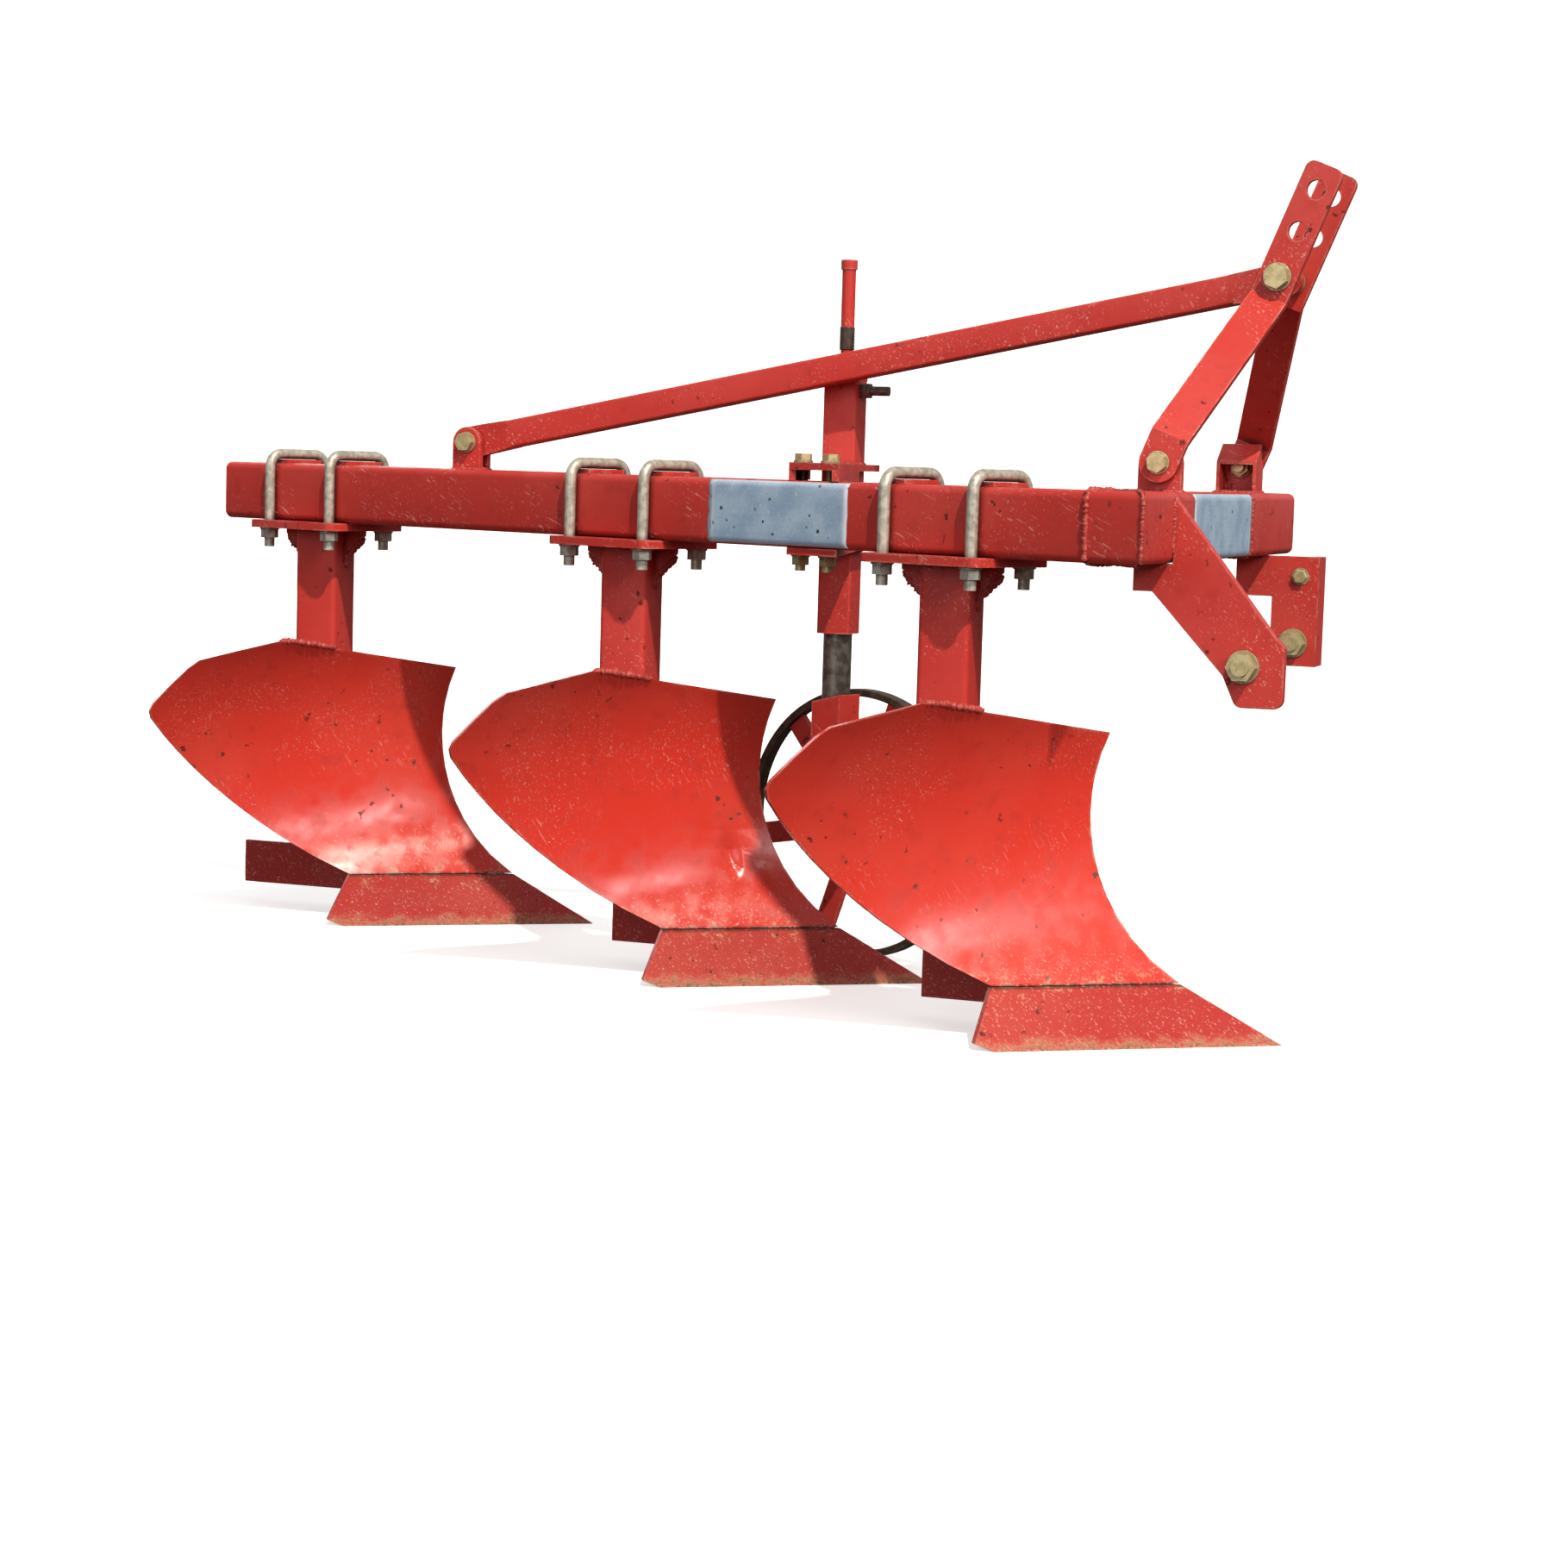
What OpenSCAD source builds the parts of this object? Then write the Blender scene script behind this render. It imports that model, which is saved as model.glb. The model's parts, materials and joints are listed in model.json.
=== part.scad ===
// Three-furrow mounted plough with a diagonal beam, a hitch mast and a depth wheel.
// Millimetres. +X is the direction of travel, +Y the plough's left, +Z up.
// The origin is on the ground, under the middle of the whole plough.

/* [Frame] */
// Side of the square tube of the beam and the cross tube
beam_w = 90; // [84:1:100]
// Wall of the beam and the cross tube
tube_wall = 8; // [5:0.5:10]
// Corner radius of the beam and the cross tube
tube_r = 11; // [10.5:0.5:16]
// Length of the beam along its right face
beam_len = 1838; // [1780:1:1960]
// Length of the cross tube along its front face
cross_len = 962; // [945:1:1040]
// Angle between the beam and the direction of travel
beam_angle = 23.4; // [21:0.1:25]
// Height of the beam's underside above the ground
beam_h = 616; // [600:1:650]
// Thickness of the plates that close the tube ends
cap_t = 6; // [4:1:10]
// Step between the edge of an end plate and the tube's faces
cap_inset = 3; // [1:1:6]

/* [Plough bodies] */
// Distance along the beam from the bend to the front leg
body_start = 336; // [320:1:360]
// Distance along the beam from the front leg to the middle leg
body_gap_front = 600; // [580:1:640]
// Distance along the beam from the middle leg to the rear leg
body_gap_rear = 700; // [680:1:740]
// Side of the square leg tube
leg_w = 70; // [64:1:76]
// Wall of the leg tube
leg_wall = 8; // [5:0.5:10]
// Height of the leg's lower end above the ground
leg_foot = 165; // [150:1:180]
// Size of the gussets between a leg and its clamp plate
gusset = 34; // [24:1:38]
// Thickness of the gussets
gusset_t = 8; // [6:1:12]

/* [Share and mouldboard] */
// Landside plane, left of the leg's centre
land_y = 57; // [55:1:62]
// Reach of the share point ahead of the leg's centre
tip_reach = 446; // [430:1:460]
// How far the share point stands out to the left of the landside plane
tip_out = 13; // [6:1:16]
// Height of the seam between share and mouldboard
share_h = 72; // [68:1:80]
// Angle of the share's cutting edge to the direction of travel
share_angle = 35.5; // [34:0.5:38]
// Angle of the straight rulings at the mouldboard's top
top_angle = 51; // [46:0.5:54]
// Radius of the shin curve in the landside plane
shin_r = 250; // [245:1:270]
// Height at which the shin curve stands upright
shin_mid_h = 290; // [280:1:300]
// Distance of the shin curve ahead of the leg's centre where it stands upright
shin_reach = 182; // [175:1:195]
// Length of the share's cutting edge
share_len = 403; // [385:1:420]
// Length of the seam between share and mouldboard
seam_len = 258; // [250:1:275]
// Length of the ruling that ends at the tail
tail_len = 479; // [465:1:490]
// Height of the tail
tail_h = 325; // [315:1:335]
// Length of the ruling that ends at the shoulder
shoulder_len = 432; // [420:1:445]
// Height of the shoulder
shoulder_h = 406; // [402:1:412]
// Length of the ruling that ends at the peak
peak_len = 322; // [310:1:335]
// Height of the peak
peak_h = 436; // [430:1:445]
// Height of the shin's upper corner
shin_h = 393; // [385:1:398]
// Thickness of the mouldboard, level
board_t = 9; // [7:0.5:11]
// Thickness of the share, level
share_t = 14; // [11:0.5:16]
// Width of the seam
seam_gap = 1; // [0.5:0.1:1.5]

/* [Landside and frog] */
// Height of the landside bar
landside_h = 68; // [60:1:74]
// Thickness of the landside bar
landside_t = 10; // [8:1:12]
// Height of the landside bar above the ground
landside_lift = 26; // [20:1:34]
// Reach of the front and middle landside behind the leg's centre
landside_tail = 38; // [36:1:80]
// Reach of the rear landside behind the leg's centre
landside_tail_rear = 165; // [120:1:180]
// Height of the frog's ribs
frog_h = 318; // [300:1:330]
// Thickness of the frog's right rib
frog_t = 12; // [8:1:14]
// Thickness of the bar behind the share
backing_t = 12; // [8:1:14]
// Height of the mouldboard stay
stay_bar_h = 300; // [280:1:320]
// Diameter of the mouldboard stay
stay_bar_d = 18; // [14:1:20]
// Place of the mouldboard stay along the tail's ruling
stay_bar_reach = 0.72; // [0.66:0.01:0.76]

/* [Body clamps] */
// Bar diameter of the U-bolts
u_bolt_d = 16; // [14:1:18]
// Distance between the two U-bolts of a body
u_bolt_pitch = 150; // [146:1:160]
// Bend radius of the U-bolts, to the middle of the bar
u_bolt_bend = 20; // [18:1:24]
// Thickness of the clamp plates
clamp_t = 12; // [10:1:16]
// Length of the clamp plates along the beam
clamp_len = 204; // [200:1:220]
// Margin of the clamp plates outside the U-bolts
clamp_margin = 14; // [12:1:20]
// Thickness of the pads under the U-bolts' crowns
pad_t = 6; // [4:1:10]
// Width of the pads
pad_w = 34; // [26:1:40]
// Height of the U-bolts' nuts
u_nut_h = 13; // [10:1:16]
// Free end of a U-bolt below its nut
u_bolt_end = 14; // [8:1:20]

/* [Mast] */
// Lean of the mast forward of upright
mast_lean = 22; // [20:0.5:24]
// Width of the mast's flat bars
mast_w = 52; // [48:1:56]
// Thickness of the mast's flat bars
mast_t = 12; // [10:1:14]
// Clear gap between the bars at the top
mast_gap = 100; // [90:1:110]
// Distance between the two mast lugs
mast_foot_span = 510; // [490:1:530]
// Height of the foot bolts above the cross tube
mast_foot_rise = 37; // [35:1:44]
// Distance along the bar from foot bolt to top bolt
mast_bolt_reach = 272; // [262:1:282]
// Distance along the bar from foot bolt to the lower top-link hole
link_hole_reach = 337; // [332:1:346]
// Distance between the two top-link holes
link_hole_pitch = 59; // [52:1:64]
// Diameter of the top-link holes
link_hole_d = 25.7; // [22:0.1:26.5]
// Bar beyond the upper top-link hole
mast_end = 35; // [30:1:40]
// Diameter of the foot bolts and the stay's rear bolt
foot_bolt_d = 16; // [14:1:18]
// Diameter of the top bolt
top_bolt_d = 20; // [18:1:22]
// Width of the lugs on the beam and the cross tube
lug_w = 58; // [52:1:64]
// Thickness of the lugs
lug_t = 14; // [12:1:16]

/* [Back stay] */
// Distance along the beam from the bend to the stay's rear bolt
stay_foot = 1290; // [1260:1:1310]
// Height of the stay's rear bolt above the beam
stay_foot_rise = 40; // [37:1:46]
// Side of the stay's square tube
stay_w = 40; // [36:1:44]
// Wall of the stay's tube
stay_wall = 4; // [3:0.5:6]
// Thickness of the stay's flattened ends
tongue_t = 16; // [14:1:18]
// Width of the stay's flattened ends
tongue_w = 46; // [44:1:50]
// Length over which the tube is flattened
taper_len = 48; // [40:1:60]

/* [Lower links] */
// Right lower-link plate, left of the bend
link_right_y = 178; // [165:1:190]
// Distance between the shoulders of the two lower-link pins
link_span = 683; // [683:1:700]
// Height of the lower-link pins above the ground
link_pin_h = 490; // [485:1:495]
// Right pin ahead of the cross tube's front face
link_pin_x_right = 96; // [90:1:104]
// Left pin ahead of the cross tube's front face
link_pin_x_left = 34; // [30:1:36]
// Thickness of the right lower-link plate
link_plate_t = 15; // [12:1:18]
// Thickness of the left lower-link bracket
bracket_t = 12; // [10:1:14]
// Depth of the left bracket's front flange
flange_d = 40; // [30:1:46]
// Diameter of the lower-link pins
pin_d = 28; // [27:0.1:28.7]
// Free length of the lower-link pins
pin_len = 66; // [62:1:76]
// Diameter of the pins' threaded ends
pin_stud_d = 22; // [20:1:24]
// Diameter of the linch-pin holes
linch_d = 12; // [10:0.5:12.5]

/* [Depth wheel] */
// Distance of the wheel's sleeve behind the bend
sleeve_back = 592; // [580:1:604]
// Distance of the wheel's sleeve to the left of the bend
sleeve_out = 600; // [596:1:620]
// Distance along the beam from the bend to the arm that carries the sleeve
arm_at = 551; // [540:1:560]
// Width of the arm's two plates
arm_w = 84; // [78:1:92]
// Side of the sleeve's square tube
sleeve_w = 50; // [48:1:52]
// Length of the sleeve below the beam's underside
sleeve_drop = 132; // [116:1:136]
// Length of the sleeve above the beam
sleeve_rise = 144; // [114:1:152]
// Diameter of the sliding shaft
shaft_d = 42; // [38:1:42]
// Length of the shaft held in the sleeve
shaft_grip = 175; // [150:1:185]
// Diameter of the spindle
spindle_d = 20; // [16:1:22]
// Height of the spindle's upper end above the beam
spindle_rise = 317; // [254:1:334]
// Side of the square wheel leg
wheel_leg_w = 50; // [48:1:54]
// Length of bare shaft between the sleeve and the wheel leg, the depth that can be set
shaft_free = 88; // [88:1:98]
// Swivel of the wheel about its shaft
wheel_yaw = 18; // [0:1:24]
// Wheel diameter
wheel_d = 400; // [370:1:420]
// Width of the rim
rim_w = 22; // [18:1:34]
// Thickness of the rim
rim_t = 11; // [7:1:12]
// Distance of the wheel's middle from the shaft's centre
wheel_offset = 67; // [64:1:76]
// Axle diameter
axle_d = 25; // [22:1:28]
// Hub diameter
hub_d = 70; // [68:1:76]
// Number of spokes
spoke_count = 6; // [4:1:6]
// Width of the flat spokes
spoke_w = 33; // [26:1:33]
// Thickness of the flat spokes
spoke_t = 8; // [6:1:10]
// Thickness of the arm's plates
arm_t = 10; // [8:1:12]
// Height of the channel under the arm's upper plate
channel_h = 14; // [10:1:18]
// Distance between the arm's two bolts
arm_bolt_pitch = 50; // [44:1:54]
// Diameter of the arm's bolts
arm_bolt_d = 14; // [12:1:16]

/* [Hidden] */
// Clearances
fit_gap = 0.3;
bolt_gap = 0.3;
run_gap = 0.05;
hub_gap = 1;
u_bolt_gap = 1;
// Proportions of the bolts, nuts and washers to their thread
head_flat = 1.5;
head_rise = 0.65;
nut_rise = 0.8;
washer_wide = 1.9;
washer_t = 3;
bolt_end = 8;
// Corners of the share and the mouldboard
peak_flat = 16;
tail_corner = 12;
tail_cut = 5;
shoulder_cut = 3;
wing_corner = 9;
// Tabs of the mouldboard stays
tab = 24;
tab_t = 8;
// Collar of the right lower-link pin, and the left pin's spacer beyond the bracket's flange
collar_t = 6;
collar_wide = 1.25;
flange_step = 4;
// Steel left round the lower-link pins
eye_margin = 52;
bracket_margin = 34;
// Boss between the wheel leg and the hub
axle_boss = 4;
// Turn of the spokes as the wheel is parked
spoke_turn = 50;
// Folded hood over the nut of the left mast foot: depth, plate, and its two edges above the bolt
hood_d = 36;
hood_t = 5;
hood_ridge = 33;
hood_eave = 8;
// Steps of the faceted curves
arc_steps = 5;
board_rows = 9;
board_columns = 6;

red = "#b5302b";
dark_red = "#8f2420";
zinc = "#c8c3b4";
yellow_zinc = "#b4a56e";
grey_steel = "#4a4a45";
rust = "#3b322b";

beam_top = beam_h + beam_w;
body_at = [body_start, body_start + body_gap_front, body_start + body_gap_front + body_gap_rear];
landside_tails = [landside_tail, landside_tail, landside_tail_rear];
mitre_angle = 90 + (90 - beam_angle) / 2;
clamp_low = beam_h - clamp_t;
u_bolt_y = u_bolt_gap + u_bolt_d / 2;
shoulder_right = link_right_y + link_plate_t / 2 + collar_t;
shoulder_left = shoulder_right + link_span;
bracket_left = shoulder_left - flange_d - flange_step;
link_nose = link_pin_x_right + eye_margin;
mast_y = shoulder_right + link_span / 2;
mast_len = link_hole_reach + link_hole_pitch + mast_end;
mast_front = -beam_w / 2 + mast_len * sin(mast_lean) + mast_w / 2 * cos(mast_lean);
ear_t = lug_t * 0.7;
axle_h = wheel_d / 2;
rim_inner = wheel_d / 2 - rim_t;
hub_len = 2 * (wheel_offset - wheel_leg_w / 2 - axle_boss);
sleeve_wall = (sleeve_w - shaft_d) / 2 - fit_gap;
sleeve_low = beam_h - sleeve_drop;
sleeve_top = beam_top + sleeve_rise;
spindle_top = beam_top + spindle_rise;
wheel_leg_top = sleeve_low - shaft_free;
// Floor of the shaft's socket in the wheel leg, two leg widths deep where the axle leaves room
socket_low = max(wheel_leg_top - 2 * wheel_leg_w, axle_h + axle_d);
sleeve_pos = [-sleeve_back, sleeve_out];
arm_edge = tube_r / 2;
arm_pad = [sleeve_pos[0], sleeve_pos[1] - sleeve_w];
// Place on the arm's centre line above the middle of the beam
arm_share = (beam_w / 2 - arm_edge) / (across(arm_pad) - arm_edge);
arm_bolt_at = arm_at + (station(arm_pad) - arm_at) * arm_share;

// Straight rulings of the share and the mouldboard, seen from the leg's centre on the ground
function shin_x(z) = shin_reach + shin_r - sqrt(pow(shin_r, 2) - pow(z - shin_mid_h, 2));
function above(z) = min(1, z / share_h);
function edge_x(z) = z >= share_h ? shin_x(z) : tip_reach + (shin_x(share_h) - tip_reach) * above(z);
function edge_y(z) = land_y + tip_out * (1 - above(z));
function turn(z) = max(0, z - share_h) / (peak_h - share_h);
function ruling(z) = share_angle + (top_angle - share_angle) * turn(z);
function surf(len, z) = [edge_x(z) - len * cos(ruling(z)), edge_y(z) - len * sin(ruling(z)), z];
function behind(angle, depth) = [-sin(angle) * depth, cos(angle) * depth, 0];
mean_angle = (share_angle + top_angle) / 2;
board_back = behind(mean_angle, board_t);
share_back = behind(share_angle, share_t);
// Level distance ahead of the leg of the sheet's back, at a height and a place across
function back_x(y, z, back) = edge_x(z) + back[0] - (edge_y(z) + back[1] - y) / tan(ruling(z));

function board_outline(z) =
    lookup(z, [[share_h, seam_len], [tail_h, tail_len], [shoulder_h, shoulder_len], [peak_h, peak_len]]);
// Share of a corner's cut at a height, full in the corner itself
function corner(z, at) = max(0, 1 - abs(z - at) / tail_corner);
function board_left(z) =
    board_outline(z) - tail_cut * corner(z, tail_h) - shoulder_cut * corner(z, shoulder_h);
function board_right(z) = lookup(z, [[share_h, 0], [shin_h, 0], [peak_h, peak_len - peak_flat]]);
function share_left(z) =
    lookup(z, [[0, share_len - wing_corner], [wing_corner, share_len], [share_h, seam_len]]);

// Ground point at a station along the beam and a distance across it, and back again
function along_beam(s, n) = [
    -s * cos(beam_angle) + n * sin(beam_angle),
    s * sin(beam_angle) + n * cos(beam_angle)
];
function station(p) = p[1] * sin(beam_angle) - p[0] * cos(beam_angle);
function across(p) = p[0] * sin(beam_angle) + p[1] * cos(beam_angle);
function leg_pos(i) = along_beam(body_at[i], beam_w / 2);
function arc(x, y, r, from, to) =
    [for (k = [0:arc_steps]) let (a = from + (to - from) * k / arc_steps) [x + r * cos(a), y + r * sin(a)]];
// Rounded rectangle with its first corner at the origin
function round_rect(w, h, r) = concat(
    arc(r, r, r, 180, 270), arc(w - r, r, r, 270, 360),
    arc(w - r, h - r, r, 0, 90), arc(r, h - r, r, 90, 180)
);
// Plate outline on a base line with a round top about the origin
function lug_outline(w, drop) = concat(
    [[w / 2, -drop]], arc(0, 0, w / 2, 0, 90), arc(0, 0, w / 2, 90, 180), [[-w / 2, -drop]]
);

// The plough's extent, for the origin
x_rear = -(beam_len + cap_t) * cos(beam_angle) + cap_inset * sin(beam_angle);
x_front = max(leg_pos(0)[0] + tip_reach, link_nose, mast_front);
y_right = leg_pos(0)[1] + surf(tail_len, tail_h)[1];
y_left = cross_len + cap_t;
origin_shift = [-(x_rear + x_front) / 2, -(y_right + y_left) / 2, 0];

module placed() {
    translate(origin_shift) children();
}
module at_body(i) {
    translate(origin_shift) translate(concat(leg_pos(i), 0)) children();
}
// Station on the beam: x toward the bend, y across from the right face, z from the ground
module on_beam(s) {
    translate(origin_shift) rotate([0, 0, -beam_angle]) translate([-s, 0, 0]) children();
}
module at_sleeve(z) {
    translate(origin_shift) translate(concat(sleeve_pos, z)) children();
}
// Wheel frame: on the shaft's centre line, y along the swivelled axle
module at_wheel(z) {
    at_sleeve(z) rotate([0, 0, -wheel_yaw]) children();
}
// Mast frame: origin between the foot bolts, z along the leaning bars
module on_mast() {
    translate(origin_shift) translate([-beam_w / 2, mast_y, beam_top + mast_foot_rise])
        rotate([0, mast_lean, 0]) children();
}
// Profile in y and z, drawn out along x
module along_x(len) {
    rotate([90, 0, 90]) linear_extrude(len) children();
}
// Outline in x and z, drawn out along y from a given place
module along_y(from, len) {
    translate([0, from + len, 0]) rotate([90, 0, 0]) linear_extrude(len) children();
}
module rod_y(d, from, to) {
    translate([0, from, 0]) rotate([-90, 0, 0]) cylinder(d = d, h = to - from, $fn = 48);
}
module hex_y(flat, from, to) {
    translate([0, from, 0]) rotate([-90, 0, 0]) cylinder(d = flat / cos(30), h = to - from, $fn = 6);
}
module tube_profile(w, wall, r) {
    difference() {
        polygon(round_rect(w, w, r));
        translate([wall, wall]) polygon(round_rect(w - 2 * wall, w - 2 * wall, max(1, r - wall)));
    }
}
// Bolt along y: head before the clamped stack, nut and washers behind it
module bolt_y(d, from, to) {
    flat = d * head_flat;
    nut_end = to + washer_t + d * nut_rise;
    rod_y(d, from - washer_t, nut_end + bolt_end);
    rod_y(d * washer_wide, from - washer_t, from);
    rod_y(d * washer_wide, to, to + washer_t);
    hex_y(flat, from - washer_t - d * head_rise, from - washer_t);
    hex_y(flat, to + washer_t, nut_end);
}
// Points of one side of a sheet, set back by a level shift, its right edge kept in an upright plane
function side_points(heights, columns, left, right, shift) = [
    for (z = heights)
    let (first = right(z) + shift[1] / sin(ruling(z)))
    for (j = [0:columns])
    surf(first + (left(z) - first) * j / columns, z) + shift
];
// Sheet between two ends of each ruling, thickened from one level depth to another
module sheet(heights, columns, left, right, near, far) {
    rows = len(heights);
    w = columns + 1;
    n = rows * w;
    points = concat(
        side_points(heights, columns, left, right, near), side_points(heights, columns, left, right, far)
    );
    quads = concat(
        [for (i = [0:rows - 2]) for (j = [0:columns - 1])
            [i * w + j, i * w + j + 1, (i + 1) * w + j + 1, (i + 1) * w + j]],
        [for (i = [0:rows - 2]) for (j = [0:columns - 1])
            [n + (i + 1) * w + j, n + (i + 1) * w + j + 1, n + i * w + j + 1, n + i * w + j]],
        [for (j = [0:columns - 1]) [j + 1, j, n + j, n + j + 1]],
        [for (j = [0:columns - 1]) let (t = (rows - 1) * w + j) [t, t + 1, n + t + 1, n + t]],
        [for (i = [0:rows - 2]) [i * w, (i + 1) * w, n + (i + 1) * w, n + i * w]],
        [for (i = [0:rows - 2]) let (e = i * w + columns) [e + w, e, n + e, n + e + w]]
    );
    polyhedron(points, [for (q = quads) for (t = [[q[0], q[1], q[2]], [q[0], q[2], q[3]]]) t]);
}
// One side of the upright mitre plane at the bend
module mitre_side(side) {
    reach = 3 * beam_w;
    rotate([0, 0, mitre_angle]) translate([-beam_w, side > 0 ? 0 : -reach, beam_h - 1])
        cube([beam_w + reach, reach, beam_w + 2]);
}

module main_beam() {
    color(red) placed() difference() {
        rotate([0, 0, -beam_angle]) translate([-beam_len, 0, beam_h])
            along_x(beam_len) tube_profile(beam_w, tube_wall, tube_r);
        mitre_side(-1);
        rotate([0, 0, -beam_angle]) for (x = [-1, 1])
            translate([-arm_bolt_at + x * arm_bolt_pitch / 2, beam_w / 2, beam_h - 1])
                cylinder(d = arm_bolt_d + 2 * bolt_gap, h = beam_w + 2, $fn = 48);
    }
}
module cross_tube() {
    color(red) placed() difference() {
        translate([0, 0, beam_h]) rotate([90, 0, 180]) linear_extrude(cross_len)
            tube_profile(beam_w, tube_wall, tube_r);
        mitre_side(1);
    }
}
module cap_plate() {
    side = beam_w - 2 * cap_inset;
    along_x(cap_t) translate([cap_inset, cap_inset]) polygon(round_rect(side, side, tube_r - cap_inset));
}
module beam_cap() {
    color(dark_red) on_beam(beam_len) translate([-cap_t, 0, beam_h]) cap_plate();
}
module cross_tube_cap() {
    color(dark_red) placed() translate([0, cross_len, beam_h]) rotate([0, 0, 90]) cap_plate();
}

module clamp_plates(i) {
    half = beam_w / 2 + u_bolt_gap + u_bolt_d + clamp_margin;
    color(red) on_beam(body_at[i]) {
        difference() {
            translate([-clamp_len / 2, beam_w / 2 - half, clamp_low])
                linear_extrude(clamp_t) polygon(round_rect(clamp_len, 2 * half, clamp_margin));
            for (x = [-1, 1], y = [-u_bolt_y, beam_w + u_bolt_y])
                translate([x * u_bolt_pitch / 2, y, clamp_low - 1])
                    cylinder(d = u_bolt_d + 2 * bolt_gap, h = clamp_t + 2, $fn = 48);
        }
        for (x = [-1, 1])
            translate([x * u_bolt_pitch / 2 - pad_w / 2, tube_r, beam_top])
                cube([pad_w, beam_w - 2 * tube_r, pad_t]);
    }
}
// One U-bolt over the beam: two legs, two bends, the crown, washers and nuts
module u_bolt() {
    crown_z = beam_top + pad_t + fit_gap + u_bolt_d / 2;
    bend_z = crown_z - u_bolt_bend;
    span = beam_w + 2 * u_bolt_y;
    low = clamp_low - washer_t - u_nut_h - u_bolt_end;
    translate([0, -u_bolt_y, 0]) {
        for (y = [0, span])
            translate([0, y, 0]) {
                translate([0, 0, low]) cylinder(d = u_bolt_d, h = bend_z - low, $fn = 48);
                translate([0, 0, clamp_low - washer_t])
                    cylinder(d = u_bolt_d * washer_wide, h = washer_t, $fn = 48);
                translate([0, 0, clamp_low - washer_t - u_nut_h])
                    cylinder(d = u_bolt_d * head_flat / cos(30), h = u_nut_h, $fn = 6);
            }
        for (m = [0, 1])
            translate([0, m * span, 0]) mirror([0, m, 0])
                translate([0, u_bolt_bend, bend_z]) rotate([90, 0, -90])
                    rotate_extrude(angle = 90, $fn = 64)
                        translate([u_bolt_bend, 0]) circle(d = u_bolt_d, $fn = 48);
        translate([0, u_bolt_bend, crown_z]) rotate([-90, 0, 0])
            cylinder(d = u_bolt_d, h = span - 2 * u_bolt_bend, $fn = 48);
    }
}
module u_bolts(i) {
    color(zinc) on_beam(body_at[i])
        for (x = [-1, 1])
            translate([x * u_bolt_pitch / 2, 0, 0]) u_bolt();
}

module leg(i) {
    color(red) at_body(i) {
        translate([-leg_w / 2, -leg_w / 2, leg_foot])
            linear_extrude(clamp_low - leg_foot) tube_profile(leg_w, leg_wall, leg_wall);
        for (m = [0, 1])
            mirror([m, 0, 0]) along_y(-gusset_t / 2, gusset_t)
                polygon([
                    [leg_w / 2, clamp_low],
                    [leg_w / 2 + gusset, clamp_low],
                    [leg_w / 2 + gusset, clamp_low - gusset_t],
                    [leg_w / 2, clamp_low - gusset * 1.3]
                ]);
    }
}
board_heights = concat(
    [for (k = [0:board_rows]) share_h + (tail_h - tail_corner - share_h) * k / board_rows],
    [tail_h, tail_h + tail_corner, (tail_h + tail_corner + shin_h) / 2, shin_h],
    [shoulder_h, (shoulder_h + peak_h) / 2, peak_h]
);
module mouldboard(i) {
    color(red) at_body(i)
        sheet(board_heights, board_columns, function(z) board_left(z), function(z) board_right(z),
            [0, 0, 0], board_back);
}
module share(i) {
    color(dark_red) at_body(i)
        sheet([0, wing_corner, share_h - seam_gap], 1, function(z) share_left(z), function(z) 0,
            [0, 0, 0], share_back);
}
module landside(i) {
    inner = land_y - landside_t;
    top = landside_lift + landside_h;
    color(dark_red) at_body(i) along_y(inner, landside_t)
        polygon([
            [-landside_tails[i], landside_lift],
            [back_x(inner, landside_lift, share_back) - fit_gap, landside_lift],
            [back_x(inner, share_h, share_back) - fit_gap, share_h],
            [back_x(inner, top, share_back) - fit_gap, top],
            [-landside_tails[i], top]
        ]);
}
// Upright rib of the frog, its front edge fitted to the back of share and mouldboard
module rib(from, t, low) {
    rising = [for (z = board_heights) if (z > share_h && z < frog_h) z];
    color(dark_red) along_y(from, t)
        polygon(concat(
            [[-leg_w / 2, leg_foot], [back_x(from, low, share_back) - fit_gap, low]],
            [[back_x(from, share_h, share_back) - fit_gap, share_h]],
            [for (z = rising) [back_x(from, z, board_back) - fit_gap, z]],
            [[back_x(from, frog_h, board_back) - fit_gap, frog_h], [leg_w / 2, frog_h]],
            [[-leg_w / 2, (frog_h + leg_foot) / 2]]
        ));
}
module frog(i) {
    left_t = land_y - landside_t - leg_w / 2;
    bar_low = share_h / 2;
    bar_top = share_h * 1.5;
    bar_y = leg_w / 2 + left_t / 2;
    bar_left = -leg_w / 2 - frog_t;
    backing = share_back + behind(share_angle, fit_gap);
    at_body(i) {
        rib(leg_w / 2, left_t, landside_lift);
        rib(bar_left, frog_t, bar_low);
        color(dark_red)
            sheet([bar_low, share_h, bar_top], 1,
                function(z) seam_len, function(z) (edge_y(z) - bar_y) / sin(ruling(z)),
                backing, backing + behind(share_angle, backing_t));
    }
}
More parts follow.
